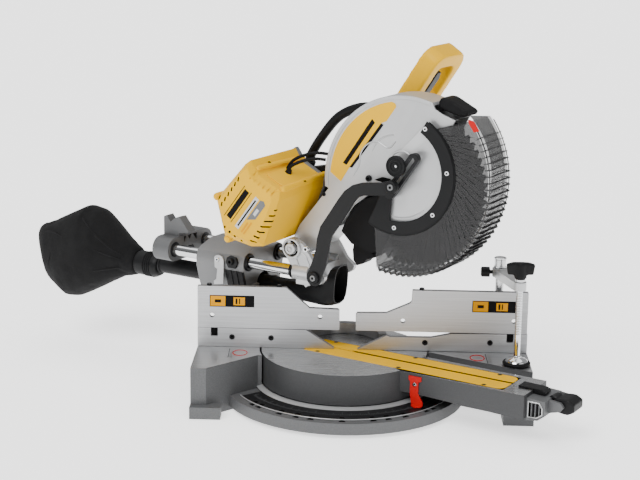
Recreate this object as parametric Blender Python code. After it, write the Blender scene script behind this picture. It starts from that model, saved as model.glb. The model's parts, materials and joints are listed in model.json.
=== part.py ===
"""Sliding mitre saw with a 305 mm blade, a belt drive and two slide rails.

Lengths are in millimetres and become metres when a mesh is made.
Two frames share the mitre pivot, with z = 0 on the table top:
- the base frame has X along the fence and Y away from the operator;
- the saw frame turns with the table. A point in it is (t, z, h): t runs to the front of the
  saw, z up and h to its right, and the blade lies in the plane h = 0.
"""
import math

import bmesh
import bpy
from mathutils import Matrix, Vector

MM = 0.001
GAP = 0.3
RUNNING = 0.05

# Driving dimensions
TABLE_HEIGHT = 95.0
MITRE_ANGLE = math.radians(60.0)
BOX_CENTRE = (-113.42, 71.59)
BLADE_RADIUS = 152.5
BLADE_HALF = 1.5
TEETH = 60
RING_TOP = -66.0
WING_REAR = 38.0
FENCE_THICK = 10.0
FENCE_STEP = 38.2
FENCE_TOP = 121.3
ARBOR = (138.0, 341.7)
GUARD_PIVOT = (133.0, 384.5)
GUARD_RIM = (128.8, 363.8)
GUARD_RING = (128.5, 370.0)
LOCK_LEVER_PIVOT = (453.0, -20.0)
LINK_NEAR = -73.0
BELT_NEAR = 31.3
BELT_FAR = 57.0
LINK_FAR = -69.0
HEAD_PIVOT = (-84.0, 202.0)
LINK_PIVOT = (-27.0, 155.0)
LINK_ROLLER = (134.0, 349.0)
MOTOR_AXIS = (-130.0, 290.0)
RAIL_Z = 157.0
RAIL_H = 52.0
RAIL_RADIUS = 11.0
DUCT_Z = 105.0
GUARD_RADIUS = 168.7
GUARD_HALF = 31.0
CLAMP_POST = (296.0, 28.0)
CLAMP_ROD = (325.0, -71.0)
HANDLE_ANGLE = math.radians(57.0)
HANDLE_FOOT = (78.0, 478.0)
TRIGGER_TRAVEL = 6.0

COLOURS = {
    "cast_grey": ((0.20, 0.205, 0.21), 0.55, 0.3),
    "black_plastic": ((0.018, 0.019, 0.02), 0.5, 0.0),
    "black_steel": ((0.03, 0.03, 0.032), 0.4, 0.6),
    "machined": ((0.50, 0.51, 0.52), 0.32, 1.0),
    "silver_cast": ((0.48, 0.48, 0.48), 0.45, 0.6),
    "chrome": ((0.75, 0.76, 0.78), 0.12, 1.0),
    "steel": ((0.55, 0.56, 0.58), 0.3, 1.0),
    "yellow": ((0.86, 0.58, 0.02), 0.38, 0.0),
    "red": ((0.6, 0.02, 0.02), 0.4, 0.0),
    "smoke": ((0.05, 0.05, 0.05), 0.2, 0.0),
    "cloth": ((0.012, 0.012, 0.014), 0.9, 0.0),
    "rubber": ((0.02, 0.02, 0.02), 0.75, 0.0),
}


# Points

def saw(t, z, h):
    """A point of the saw frame in the axes of its empty."""
    return (h, -t, z)


def side(outline, low, high):
    """Two rings of a side outline of (t, z) points, at two distances h."""
    return [[saw(t, z, h) for t, z in outline] for h in (low, high)]


def cross(outline, low, high):
    """Two rings of a cross outline of (h, z) points, at two distances t."""
    return [[saw(t, z, h) for h, z in outline] for t in (low, high)]


def plan(outline, low, high):
    """Two rings of a plan outline of (x, y) points, at two heights."""
    return [[(x, y, z) for x, y in outline] for z in (low, high)]


def wall(outline, low, high):
    """Two rings of a fence outline of (x, z) points, at two distances y."""
    return [[(x, y, z) for x, z in outline] for y in (low, high)]


def arc(centre, radius, start, end, steps):
    """Points on an arc, its angles in degrees."""
    points = []
    for i in range(steps + 1):
        angle = math.radians(start + (end - start) * i / steps)
        points.append((centre[0] + radius * math.cos(angle), centre[1] + radius * math.sin(angle)))
    return points


def box(x0, x1, y0, y1):
    return [(x0, y0), (x1, y0), (x1, y1), (x0, y1)]


def hull(first, first_radius, second, second_radius, steps=12):
    """The outline of a band laid round two circles."""
    dx, dy = second[0] - first[0], second[1] - first[1]
    lean = math.degrees(math.acos((first_radius - second_radius) / math.hypot(dx, dy)))
    along = math.degrees(math.atan2(dy, dx))
    back = arc(first, first_radius, along + lean, along + 360 - lean, steps)
    return back + arc(second, second_radius, along - lean, along + lean, steps)


def ribbon(path, widths):
    """The outline of a flat bar that follows a path, with its half width at each point."""
    left, right = [], []
    for i, (x, y) in enumerate(path):
        before = path[max(i - 1, 0)]
        after = path[min(i + 1, len(path) - 1)]
        dx, dy = after[0] - before[0], after[1] - before[1]
        length = math.hypot(dx, dy)
        nx, ny = -dy / length * widths[i], dx / length * widths[i]
        left.append((x + nx, y + ny))
        right.append((x - nx, y - ny))
    return left + right[::-1]


# Meshes

def finish(name, bm):
    bmesh.ops.recalc_face_normals(bm, faces=bm.faces)
    mesh = bpy.data.meshes.new(name)
    bm.to_mesh(mesh)
    bm.free()
    obj = bpy.data.objects.new(name, mesh)
    bpy.context.scene.collection.objects.link(obj)
    return obj


def loft(name, rings, closed=False):
    """A solid through rings of equally many points: capped at its ends, or closed on itself."""
    bm = bmesh.new()
    rows = [[bm.verts.new(Vector(point) * MM) for point in ring] for ring in rings]
    count = len(rows[0])
    pairs = list(zip(rows, rows[1:]))
    if closed:
        pairs.append((rows[-1], rows[0]))
    for low, high in pairs:
        for i in range(count):
            j = (i + 1) % count
            bm.faces.new((low[i], low[j], high[j], high[i]))
    if not closed:
        bm.faces.new(rows[0][::-1])
        bm.faces.new(rows[-1])
    return finish(name, bm)


def bore(radius, sides=24):
    """The corner radius of a many-sided bore whose flats clear a turning pin."""
    return (radius + RUNNING) / math.cos(math.pi / sides)


def axes_of(axis):
    """Two directions square to an axis."""
    first = axis.orthogonal().normalized()
    return first, axis.cross(first)


def turned(name, start, axis, stations, sides=24):
    """A solid of revolution with a core: stations are (distance along the axis, radius)."""
    start, axis = Vector(start), Vector(axis).normalized()
    u, v = axes_of(axis)
    rings = []
    for distance, radius in stations:
        ring = []
        for i in range(sides):
            angle = 2 * math.pi * i / sides
            ring.append(start + axis * distance + (u * math.cos(angle) + v * math.sin(angle)) * radius)
        rings.append(ring)
    return loft(name, rings)


def spun(name, start, axis, profile, sides=32):
    """A ring: a closed profile of (distance, radius) points turned once round the axis."""
    start, axis = Vector(start), Vector(axis).normalized()
    u, v = axes_of(axis)
    rings = []
    for i in range(sides):
        angle = 2 * math.pi * i / sides
        out = u * math.cos(angle) + v * math.sin(angle)
        rings.append([start + axis * distance + out * radius for distance, radius in profile])
    return loft(name, rings, closed=True)


def rod(name, start, end, radius, sides=20):
    length = (Vector(end) - Vector(start)).length
    return turned(name, start, Vector(end) - Vector(start), [(0, radius), (length, radius)], sides)


def across(name, centre, low, high, radius, sides=24):
    """A rod that lies along h, through a (t, z) point."""
    return rod(name, saw(*centre, low), saw(*centre, high), radius, sides)


def collar(name, centre, low, high, inner, outer, sides=28):
    """A ring that lies along h, round a (t, z) point."""
    profile = [(low, inner), (high, inner), (high, outer), (low, outer)]
    return spun(name, saw(*centre, 0), (1, 0, 0), profile, sides)


def tube(name, points, radius, sides=3):
    """A round bar or cable along a smooth path: a curve with filled caps."""
    curve = bpy.data.curves.new(name, "CURVE")
    curve.dimensions = "3D"
    curve.bevel_depth = radius * MM
    curve.bevel_resolution = sides
    curve.use_fill_caps = True
    spline = curve.splines.new("POLY")
    smooth = smoothed(points)
    spline.points.add(len(smooth) - 1)
    for target, point in zip(spline.points, smooth):
        target.co = (*(Vector(point) * MM), 1.0)
    obj = bpy.data.objects.new(name, curve)
    bpy.context.scene.collection.objects.link(obj)
    return obj


def smoothed(points, steps=4):
    """Points on a Catmull-Rom curve through the given points."""
    ends = [Vector(points[0]) * 2 - Vector(points[1])]
    ends += [Vector(point) for point in points]
    ends.append(Vector(points[-1]) * 2 - Vector(points[-2]))
    result = []
    for a, b, c, d in zip(ends, ends[1:], ends[2:], ends[3:]):
        for i in range(steps):
            s = i / steps
            bend = (a * 2 - b * 5 + c * 4 - d) * s * s + (b * 3 - a - c * 3 + d) * s ** 3
            result.append((b * 2 + (c - a) * s + bend) / 2)
    result.append(Vector(points[-1]))
    return result


def combine(obj, others, operation):
    """Applies a Boolean of obj with each of the others, and removes them."""
    for other in others:
        modifier = obj.modifiers.new("Boolean", "BOOLEAN")
        modifier.operation = operation
        modifier.solver = "EXACT"
        modifier.object = other
        bpy.context.view_layer.update()
        graph = bpy.context.evaluated_depsgraph_get()
        mesh = bpy.data.meshes.new_from_object(obj.evaluated_get(graph), depsgraph=graph)
        old = obj.data
        obj.modifiers.clear()
        obj.data = mesh
        mesh.name = obj.name
        bpy.data.meshes.remove(old)
        bpy.data.objects.remove(other)
    return obj


def join(obj, *others):
    return combine(obj, others, "UNION")


def cut(obj, *others):
    return combine(obj, others, "DIFFERENCE")


# Frames, pivots and finishes

def empty(name, parent=None, place=(0, 0, 0)):
    obj = bpy.data.objects.new(name, None)
    obj.empty_display_size = 0.03
    obj.location = place
    obj.parent = parent
    bpy.context.scene.collection.objects.link(obj)
    return obj


def pivot(name, frame, point):
    """An empty on a joint's axis, at a point of its frame in millimetres."""
    obj = empty(name, frame, Vector(point) * MM)
    obj["on_axis"] = True
    return obj


def finish_of(name):
    if name in bpy.data.materials:
        return bpy.data.materials[name]
    colour, roughness, metallic = COLOURS[name]
    material = bpy.data.materials.new(name)
    material.use_nodes = True
    shader = material.node_tree.nodes["Principled BSDF"]
    shader.inputs["Base Color"].default_value = (*colour, 1.0)
    shader.inputs["Roughness"].default_value = roughness
    shader.inputs["Metallic"].default_value = metallic
    return material


def hang(obj, holder, finish_name):
    """Puts a piece, made in the axes of its frame, under the empty of its body."""
    offset = holder.location.copy() if holder.get("on_axis") else Vector()
    if obj.type == "MESH":
        obj.data.transform(Matrix.Translation(-offset))
        obj.data.shade_smooth()
        obj.data.set_sharp_from_angle(angle=math.radians(35))
    else:
        obj.location = -offset
    obj.data.materials.clear()
    obj.data.materials.append(finish_of(finish_name))
    obj.parent = holder
    return obj


# Base and fences

def base_casting(holder):
    rim = [(-88, 233), (RING_TOP, 233), (RING_TOP, 14), (RING_TOP - 6, 14), (RING_TOP - 6, 225), (-88, 225)]
    base = spun("base_casting", (0, 0, 0), (0, 0, 1), rim, 56)
    left = [(-284, WING_REAR), (-284, -134), (-255, -133), (-164, -47), (-130, -47), (-130, WING_REAR)]
    right = [(352, WING_REAR), (352, -114), (205, -29), (165, -6), (130, -6), (130, WING_REAR)]
    left_under = [(-277, 31), (-277, -127), (-258, -126), (-178, -50), (-178, 31)]
    right_under = [(345, 31), (345, -102), (207, -22), (178, -5), (178, 31)]
    join(base, loft("left", plan(left, -TABLE_HEIGHT, 0)), loft("right", plan(right, -TABLE_HEIGHT, 0)))
    cut(base, loft("left_hollow", plan(left_under, -100, -7)))
    cut(base, loft("right_hollow", plan(right_under, -100, -7)))
    cut(base, turned("table_seat", (0, 0, RING_TOP), (0, 0, 1), [(0, 163.5), (80, 163.5)], 56))
    join(base, loft("left_foot", plan(box(-285, -227, -149, -120), -TABLE_HEIGHT, -72)))
    join(base, loft("right_foot", plan(box(298, 354.5, -144, -92), -TABLE_HEIGHT, -72)))
    join(base, loft("front_foot", plan(box(-34, 43, -202, -172), -TABLE_HEIGHT, RING_TOP - 3)))
    cut(base, loft("fence_seat", plan(box(-300, 370, -GAP, 60), -GAP, 10)))
    cut(base, turned("post_bore", (*CLAMP_POST, -42), (0, 0, 1), [(0, bore(8)), (60, bore(8))]))
    hang(base, holder, "cast_grey")


def detent_plate(holder):
    """An arc of plate under the arm, with a notch at each detent of the mitre scale."""
    detents = (-50, -45, -31.6, -22.5, -15, 0, 15, 22.5, 31.6, 45, 50)
    outer = []
    for half_degrees in range(410, 699):
        angle = half_degrees / 2
        near = min(abs(angle - 270 - detent) for detent in detents)
        if half_degrees % 8 == 0 or 1.0 <= near <= 1.5:
            radius = 206.0 if near < 1.2 else 214.0
            turn = math.radians(angle)
            outer.append((radius * math.cos(turn), radius * math.sin(turn)))
    inner = arc((0, 0), 167, 349, 205, 36)
    plate = loft("detent_plate", plan(outer + inner, RING_TOP + GAP, RING_TOP + 3))
    hang(plate, holder, "black_steel")


def fixed_fence(holder):
    left = [(-284, 0.3), (-284, FENCE_STEP), (-74.6, 37.6), (-19.8, 2.4), (-19.8, 0.3)]
    right = [(25.2, 0.3), (25.2, 1.4), (81.5, 30.2), (87.3, 27.3), (166.6, 27.8), (206.3, 36.2),
             (351.6, FENCE_STEP), (351.6, 0.3)]
    fence = loft("fence_fixed", wall(left, 0, FENCE_THICK))
    flange_left = [(-284, 8), (-284, 35), (-90, 35), (-66, 52), (-40, 8)]
    flange_right = [(42, 8), (66, 52), (90, 35), (262, 35), (262, 8)]
    arch = arc((0, 38), 82, 180, 0, 16) + arc((0, 38), 66, 0, 180, 16)
    join(fence, loft("flange", plan(flange_left, 0.3, 9)), loft("arch", plan(arch, 0.3, 22)))
    join(fence, loft("flange", plan(flange_right, 0.3, 9)), loft("right", wall(right, 0, FENCE_THICK)))
    for x0 in (-258, 312):
        notch = box(x0, x0 + 13, 21.7, 50)
        cut(fence, loft("notch", wall(notch, -5, 15)))
    for x, z in FENCE_SCREWS:
        cut(fence, rod("countersink", (x, -1, z), (x, 3.5, z), 5.5, 16))
    hang(fence, holder, "machined")


FENCE_SCREWS = ((-217.3, 19.9), (-141.8, 19.7), (155.3, 17.0), (280.3, 19.6))


def upper_fence(name, holder, outline, holes, studs):
    fence = loft(name, wall(outline, 0, FENCE_THICK))
    for x, z in holes:
        cut(fence, rod("hole", (x, -5, z), (x, 15, z), 4.5, 16))
    for x in studs:
        join(fence, rod("stud", (x, 5, FENCE_TOP - 3), (x, 5, FENCE_TOP + 4), 4, 12))
    hang(fence, holder, "machined")


def fence_knob(name, holder, x):
    stations = [(0, 5), (8, 5), (8, 13), (22, 13), (25, 10)]
    knob = turned(name, (x, FENCE_THICK + GAP, 23.5), (0, 1, 0), stations, 20)
    hang(knob, holder, "black_plastic")


def mitre_bolt(holder):
    stations = [(-84, 20), (-72.3, 20), (-72.3, 13.7), (-66, 13.7), (-66, 8), (-31.7, 8), (-31.7, 14),
                (-27.5, 14)]
    hang(turned("mitre_pivot_bolt", (0, 0, 0), (0, 0, 1), stations, 24), holder, "steel")


def build_base(base_frame):
    base_casting(base_frame)
    detent_plate(base_frame)
    fixed_fence(base_frame)
    mitre_bolt(base_frame)
    low = FENCE_STEP + GAP
    left = [(-283.8, low), (-283.8, 120.5), (-282.8, FENCE_TOP), (-113, FENCE_TOP), (-68.2, 81.5),
            (-13, 80), (-10.5, 77.5), (-10, low)]
    right = [(21.5, low), (20.7, 70), (23.5, 74), (79.6, 75), (124, 95), (127.5, 99), (128.5, FENCE_TOP),
             (349.4, FENCE_TOP), (350.4, 120), (350.4, low)]
    left_slide = pivot("fence_left_slide", base_frame, (-180, 5, 80))
    right_slide = pivot("fence_right_slide", base_frame, (240, 5, 80))
    upper_fence("fence_upper_left", left_slide, left, ((-256, 63.3), (-47.8, 64.2)), (-261.6, -127.2))
    upper_fence("fence_upper_right", right_slide, right, ((111.7, 60), (324.5, 63.6)), (146.5,))
    for name, x in (("fence_knob_left", -180), ("fence_knob_right", 230)):
        fence_knob(name, pivot(name + "_axis", base_frame, (x, 10, 23.5)), x)


# Work clamp

def build_clamp(base_frame):
    swing = pivot("clamp_swing_axis", base_frame, (*CLAMP_POST, 0))
    post = [(-40, 8), (163, 8), (163, 11), (180, 11), (184, 8)]
    hang(turned("clamp_post", (*CLAMP_POST, 0), (0, 0, 1), post), swing, "chrome")
    arm = loft("clamp_arm", plan(hull(CLAMP_POST, 14, CLAMP_ROD, 12, 8), 146, 162))
    cut(arm, turned("post_bore", (*CLAMP_POST, 140), (0, 0, 1), [(0, 8.3), (30, 8.3)]))
    cut(arm, turned("thread", (*CLAMP_ROD, 140), (0, 0, 1), [(0, bore(6, 16)), (30, bore(6, 16))], 16))
    hang(arm, swing, "silver_cast")
    knob_start = (CLAMP_POST[0] - 14.5, CLAMP_POST[1], 154)
    set_axis = pivot("clamp_set_axis", base_frame, knob_start)
    stations = [(0, 4), (5, 4), (5, 10), (20, 10), (22, 8)]
    hang(turned("clamp_set_knob", knob_start, (-1, 0, 0), stations, 16), set_axis, "black_plastic")
    lift = pivot("clamp_foot_slide", base_frame, (*CLAMP_ROD, 0))
    foot = [(0.3, 25), (5, 25), (9, 20), (14, 9), (16, 9)]
    hang(turned("clamp_foot", (*CLAMP_ROD, 0), (0, 0, 1), foot), lift, "chrome")
    screw = pivot("clamp_screw_axis", base_frame, (*CLAMP_ROD, 170))
    hang(turned("clamp_screw", (*CLAMP_ROD, 0), (0, 0, 1), [(16.3, 6), (168, 6)], 16), screw, "chrome")
    hub = turned("clamp_knob", (*CLAMP_ROD, 0), (0, 0, 1), [(168.3, 12), (198, 9)], 16)
    x, y = CLAMP_ROD
    wings = [(x - 24, 176), (x + 24, 176), (x + 27, 196), (x + 14, 200), (x - 14, 200), (x - 27, 196)]
    join(hub, loft("wings", wall(wings, y - 5, y + 5)))
    hang(hub, screw, "black_plastic")


# Turning table and its arm

def turntable(holder):
    shell = [(0, 159.8), (-57.9, 159.8), (-57.9, 153.8), (-7, 153.8), (-7, 24), (-57.9, 24), (-57.9, 8.12),
             (-32, 8.12), (-32, 16), (0, 16)]
    table = spun("turntable", (0, 0, 0), (0, 0, 1), shell, 56)
    arm = [(120, 0), (120, -40), (198, -40), (362, -45), (402, -45), (402, 0)]
    join(table, loft("arm", side(arm, -51, 48)))
    channel = [(165, -7), (165, -60), (394, -60), (394, -7)]
    cut(table, loft("channel", side(channel, -43, 40)))
    recess = [(-66, -4), (-66, 5), (357.3, 5), (357.3, -4)]
    cut(table, loft("recess", side(recess, -43.8, 36.3)))
    slot = [(-60, -26), (-60, 5), (350, 5), (350, -26)]
    cut(table, loft("slot", side(slot, -6, 6)))
    lug = arc((0, 0), 42, 0, 180, 16) + [(-42, -50), (42, -50)]
    join(table, loft("lug", cross(lug, -182, -152)))
    cut(table, rod("bore", saw(-190, 0, 0), saw(-145, 0, 0), bore(9), 24))
    cut(table, rod("head_seat", saw(-151.5, 0, 0), saw(-130, 0, 0), 16, 24))
    hang(table, holder, "cast_grey")


def kerf_plate(name, holder, low, high):
    outline = [(-65.6, -3.7), (-65.6, 0), (357, 0), (357, -3.7)]
    hang(loft(name, side(outline, low, high)), holder, "yellow")


def arm_end(holder):
    """The housing at the arm's end, with two cheeks that carry the lock lever."""
    outline = [(402.3, -7), (402.3, -49), (425, -46), (438, -36), (438, -9)]
    housing = loft("arm_end_housing", side(outline, -40, 36))
    cheek = [(430, -9), (460, -12), (466, -20), (460, -28), (430, -36)]
    for low in (-23, 29):
        join(housing, loft("cheek", side(cheek, low, low + 7)))
    cut(housing, across("pin_bore", LOCK_LEVER_PIVOT, -20, 33, bore(4, 12), 12))
    hang(housing, holder, "cast_grey")


def lock_lever(holder):
    t, z = LOCK_LEVER_PIVOT
    outline = arc(LOCK_LEVER_PIVOT, 13.5, 110, 250, 8) + [(470, -35), (483, -28), (483, -13), (470, -6)]
    lever = loft("mitre_lock_lever", side(outline, -15.5, 28.5))
    join(lever, across("pin", (t, z), -19, 32, 4, 12))
    hang(lever, holder, "black_plastic")


def mitre_latch(holder):
    outline = [(372.5, 0.4), (374, 4), (420, 3), (427, -1), (426, -6.6), (402.2, -6.6), (402.2, 0.4)]
    hang(loft("mitre_latch", side(outline, -13, 13)), holder, "black_plastic")


def build_table(saw_frame):
    turn = saw_frame
    turntable(turn)
    kerf_plate("kerf_plate_left", turn, -43.5, -2.4)
    kerf_plate("kerf_plate_right", turn, 2.4, 36)
    pointer = [(170, -5), (197, -5), (197, -38), (192, -60), (176, -60), (170, -38)]
    hang(loft("mitre_pointer", side(pointer, -54.5, -51.3)), turn, "red")
    arm_end(turn)
    lock_lever(pivot("mitre_lock_axis", saw_frame, saw(*LOCK_LEVER_PIVOT, 0)))
    mitre_latch(pivot("mitre_latch_axis", saw_frame, saw(372, 2, 0)))


# Bevel arm with the rail housing

def slide_housing(holder):
    head = [(-71, 157), (-66, 171), (-52, 177), (-20, 186), (20, 186), (52, 177), (66, 171), (71, 157),
            (71, 140), (60, 104), (46, 70), (-46, 70), (-60, 104), (-71, 140)]
    housing = loft("slide_housing", cross(head, -300, -188))
    lower = [(46, 110), (42, 0)] + arc((0, 0), 42, -10, -170, 16) + [(-42, 0), (-46, 110)]
    join(housing, loft("lower_arm", cross(lower, -215, -182.4)))
    bores = [rod("duct_tunnel", saw(-310, DUCT_Z, 0), saw(-170, DUCT_Z, 0), 23, 28)]
    for h in (-RAIL_H, RAIL_H):
        bores.append(rod("rail_bore", saw(-310, RAIL_Z, h), saw(-180, RAIL_Z, h), 13.3, 28))
    bores.append(rod("pivot_bore", saw(-220, 0, 0), saw(-180, 0, 0), 9.3, 24))
    cut(housing, *bores)
    hang(housing, holder, "cast_grey")


def build_bevel(saw_frame):
    bevel = pivot("bevel_axis", saw_frame, (0, 0, 0))
    slide_housing(bevel)
    for name, h in (("rail_bearing_near", -RAIL_H), ("rail_bearing_far", RAIL_H)):
        profile = [(-298, RAIL_RADIUS + RUNNING), (-190, RAIL_RADIUS + RUNNING), (-190, 13), (-298, 13)]
        bearing = spun(name, saw(0, RAIL_Z, h), (0, -1, 0), profile, 28)
        hang(bearing, bevel, "black_plastic")
    bolt = [(-218, 9), (-151, 9), (-151, 15), (-144, 15)]
    hang(turned("bevel_pivot_bolt", (0, 0, 0), (0, -1, 0), bolt, 24), bevel, "steel")
    lever_axis = pivot("bevel_lever_axis", saw_frame, saw(-226, 0, 0))
    lever = turned("bevel_lock_lever", saw(-218.5, 0, 0), (0, 1, 0), [(0, 15), (14, 15)], 20)
    grip = ribbon([(6, 2), (34, 14), (58, 24)], (8, 7, 9))
    join(lever, loft("grip", cross(grip, -231, -221)))
    hang(lever, lever_axis, "black_plastic")
    knob_start = saw(-244, 146, 71.4)
    knob_axis = pivot("rail_lock_axis", saw_frame, knob_start)
    stations = [(0, 6), (10, 6), (10, 15), (26, 15), (29, 12)]
    hang(turned("rail_lock_knob", knob_start, (1, 0, 0), stations, 20), knob_axis, "black_plastic")


# Carriage: rails, bracket, duct and bag

def end_cap(holder):
    web = hull((-RAIL_H, RAIL_Z), 24, (RAIL_H, RAIL_Z), 24, 12)
    cap = loft("rail_end_cap", cross(web, -405, -366))
    tab = [(-404, 166), (-367, 166), (-367, 187.5), (-350, 190), (-342, 193), (-365, 221), (-376, 218),
           (-387.5, 208.5), (-397, 221), (-404, 218)]
    join(cap, loft("tab", side(tab, -38, -16)))
    for h in (-RAIL_H, RAIL_H):
        cut(cap, rod("socket", saw(-398, RAIL_Z, h), saw(-360, RAIL_Z, h), RAIL_RADIUS + GAP, 24))
    pockets = ([(-14, 178), (-22, 178), (-22, 164)], [(4, 178), (-9, 178), (-2, 168)],
               [(22, 178), (9, 178), (22, 163)], [(-20, 138), (20, 138), (9, 156), (-10, 156)])
    for pocket in pockets:
        cut(cap, loft("pocket", cross(pocket, -392, -350)))
    hang(cap, holder, "cast_grey")


def head_bracket(holder):
    ear = arc(HEAD_PIVOT, 20, 60, 200, 10)
    ear += [(-92, 176), (-78, 156), (-62, 140), (-52, 130)]
    ear += arc(LINK_PIVOT, 16, 225, 360, 8) + [(-30, 170), (-44, 192), (-60, 212)]
    bracket = loft("head_bracket", cross(box(-60, 60, 134, 163), -74, -44))
    for h in (-60, 50):
        join(bracket, loft("ear", side(ear, h, h + 10)))
    for h in (-RAIL_H, RAIL_H):
        barrel = rod("barrel", saw(-80, RAIL_Z, h), saw(-46, RAIL_Z, h), 16, 24)
        join(bracket, barrel)
        cut(bracket, rod("socket", saw(-90, RAIL_Z, h), saw(-52, RAIL_Z, h), RAIL_RADIUS + GAP, 24))
    cut(bracket, across("pin_bore", HEAD_PIVOT, -70, 70, 9.3))
    cut(bracket, across("link_bore", LINK_PIVOT, -75, -45, bore(6, 16), 16))
    hang(bracket, holder, "silver_cast")


def spring(holder):
    """A torsion spring coiled round the head's pivot pin."""
    turns, steps, wire, radius = 3, 12, 1.5, 14.0
    rings = []
    for i in range(turns * steps + 1):
        angle = 2 * math.pi * i / steps
        middle_h = 34 + 12.5 * i / (turns * steps)
        ring = []
        for k in range(6):
            turn = 2 * math.pi * k / 6
            reach = radius + wire * math.cos(turn)
            point = (HEAD_PIVOT[0] + reach * math.cos(angle), HEAD_PIVOT[1] + reach * math.sin(angle))
            ring.append(saw(*point, middle_h + wire * math.sin(turn)))
        rings.append(ring)
    hang(loft("head_spring", rings), holder, "steel")


def funnel(holder):
    """The dust scoop behind the blade: a shell open at both ends."""
    stations = ((-127.7, -127.7, 88, 122, 17), (-92, -92, 85, 125, 20), (-44, -44, 84, 130, 25),
                (-36, -36, 84, 138, 26), (-26, -24, 85, 162, 26), (-13, -7, 90, 168, 26))
    shells = []
    for inset in (0.0, 2.6):
        shell = []
        for low_t, high_t, low, high, half in stations:
            middle, rise, reach = (low + high) / 2, (high - low) / 2 - inset, half - inset
            ring = []
            for k in range(20):
                turn = 2 * math.pi * k / 20
                c, s = math.cos(turn), math.sin(turn)
                square = max(abs(c), abs(s)) ** 0.55
                z = middle + rise * s / square
                t = low_t + (high_t - low_t) * (z - low) / (high - low)
                ring.append(saw(t, z, reach * c / square))
            shell.append(ring)
        shells.append(shell)
    hang(loft("dust_funnel", shells[0] + shells[1][::-1], closed=True), holder, "black_plastic")


def dust_bag(holder):
    """A closed pouch: cross sections that follow its sagging outline back from the collar."""
    sections = ((-495.4, 75, 129, 27), (-528, 65, 152, 34), (-560, 49, 178, 46), (-589, 34, 201, 54),
                (-621, 18, 206, 58), (-650, 5, 193, 58), (-679, 2, 180, 54), (-720, 29, 161, 44),
                (-737, 78, 153, 32), (-751, 112, 147, 18))
    rings = []
    for t, low, high, half in sections:
        middle, rise = (low + high) / 2, (high - low) / 2
        ring = []
        for k in range(20):
            turn = 2 * math.pi * k / 20
            ring.append(saw(t, middle + rise * math.sin(turn), half * math.cos(turn)))
        rings.append(ring)
    hang(loft("dust_bag", rings), holder, "cloth")


def build_carriage(saw_frame):
    slide = pivot("slide_axis", saw_frame, saw(-240, RAIL_Z, 0))
    for name, h in (("rail_near", -RAIL_H), ("rail_far", RAIL_H)):
        hang(rod(name, saw(-397.5, RAIL_Z, h), saw(-52.4, RAIL_Z, h), RAIL_RADIUS, 28), slide, "chrome")
    end_cap(slide)
    head_bracket(slide)
    hang(across("head_pivot_pin", HEAD_PIVOT, -64, 64, 9), slide, "steel")
    spring(slide)
    duct = [(-440, 14.5), (-128, 14.5), (-128, 17), (-440, 17)]
    hang(spun("dust_duct", saw(0, DUCT_Z, 0), (0, -1, 0), duct, 28), slide, "black_plastic")
    ring = [(-495, 20), (-440.3, 14.5), (-440.3, 20), (-450, 25), (-495, 25)]
    hang(spun("bag_collar", saw(0, 101, 0), (0, -1, 0), ring, 28), slide, "black_plastic")
    funnel(slide)
    dust_bag(slide)


# Cutting head

def upper_guard(holder):
    edge = [(33, 295), (60, 316), (100, 330), (150, 354), (185, 372), (236, 474.5), (211, 483), (196, 490.5)]
    outline = arc(ARBOR, GUARD_RADIUS, 72, 186, 24) + edge
    guard = loft("upper_guard", side(outline, -GUARD_HALF, GUARD_HALF))
    arm = [(-11, 336), (-85, 243), (-98, 218)] + arc(HEAD_PIVOT, 20, 160, 345, 10)
    arm += [(-36, 207), (-11, 235), (15, 269), (33, 295), (50, 312)]
    join(guard, loft("arm", side(arm, -GUARD_HALF, GUARD_HALF)))
    cavity = arc(ARBOR, GUARD_RADIUS - 4, 52, 244, 34) + [(300, 180), (340, 420)]
    cut(guard, loft("cavity", side(cavity, -27.5, 27.5)))
    cut(guard, across("shaft_hole", ARBOR, -40, 40, 14, 20))
    cut(guard, across("pin_bore", HEAD_PIVOT, -40, 40, bore(9)))
    join(guard, across("guard_stub", GUARD_PIVOT, -46, -29, 8, 20))
    hang(guard, holder, "silver_cast")


def belt_case(holder):
    outline = hull(ARBOR, 52, MOTOR_AXIS, 44, 14)
    case = loft("belt_housing", side(outline, BELT_NEAR, BELT_FAR))
    cut(case, loft("room", side(hull(ARBOR, 47, MOTOR_AXIS, 39, 14), BELT_NEAR + 4.7, 70)))
    post = [(112, 388), (150, 388), (96, 464), (44, 470)]
    join(case, loft("post", side(post, 44, BELT_FAR)))
    cut(case, across("shaft_bore", ARBOR, 30, 40, bore(10)))
    cut(case, across("rotor_bore", MOTOR_AXIS, 30, 40, bore(8)))
    hang(case, holder, "black_plastic")
    hang(loft("belt_cover", side(outline, BELT_FAR + GAP, BELT_FAR + 3.5)), holder, "black_plastic")


def motor_housing(holder):
    outline = [(-205, 296), (-185, 226), (-126, 215), (-99, 219), (-65, 311), (-63, 329), (-111, 353),
               (-128, 379), (-140, 370)]
    middle_t = sum(t for t, z in outline) / len(outline)
    middle_z = sum(z for t, z in outline) / len(outline)
    small = [(t + (middle_t - t) * 0.16, z + (middle_z - z) * 0.16) for t, z in outline]
    rings = side(small, -150, -149)[:1] + side(outline, -136, 30)
    housing = loft("motor_housing", rings)
    cut(housing, across("rotor_room", MOTOR_AXIS, -125, 40, 27))
    hang(housing, holder, "yellow")


def handle_point(u, v, h):
    """A point of the handle from distances u along it and v square to it."""
    c, s = math.cos(HANDLE_ANGLE), math.sin(HANDLE_ANGLE)
    return saw(HANDLE_FOOT[0] + u * c - v * s, HANDLE_FOOT[1] + u * s + v * c, h)


def handle_block(name, outline, half):
    """A slab across the handle through an outline of (u, h) points."""
    return loft(name, [[handle_point(u, v, h) for u, h in outline] for v in (-half, half)])


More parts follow.
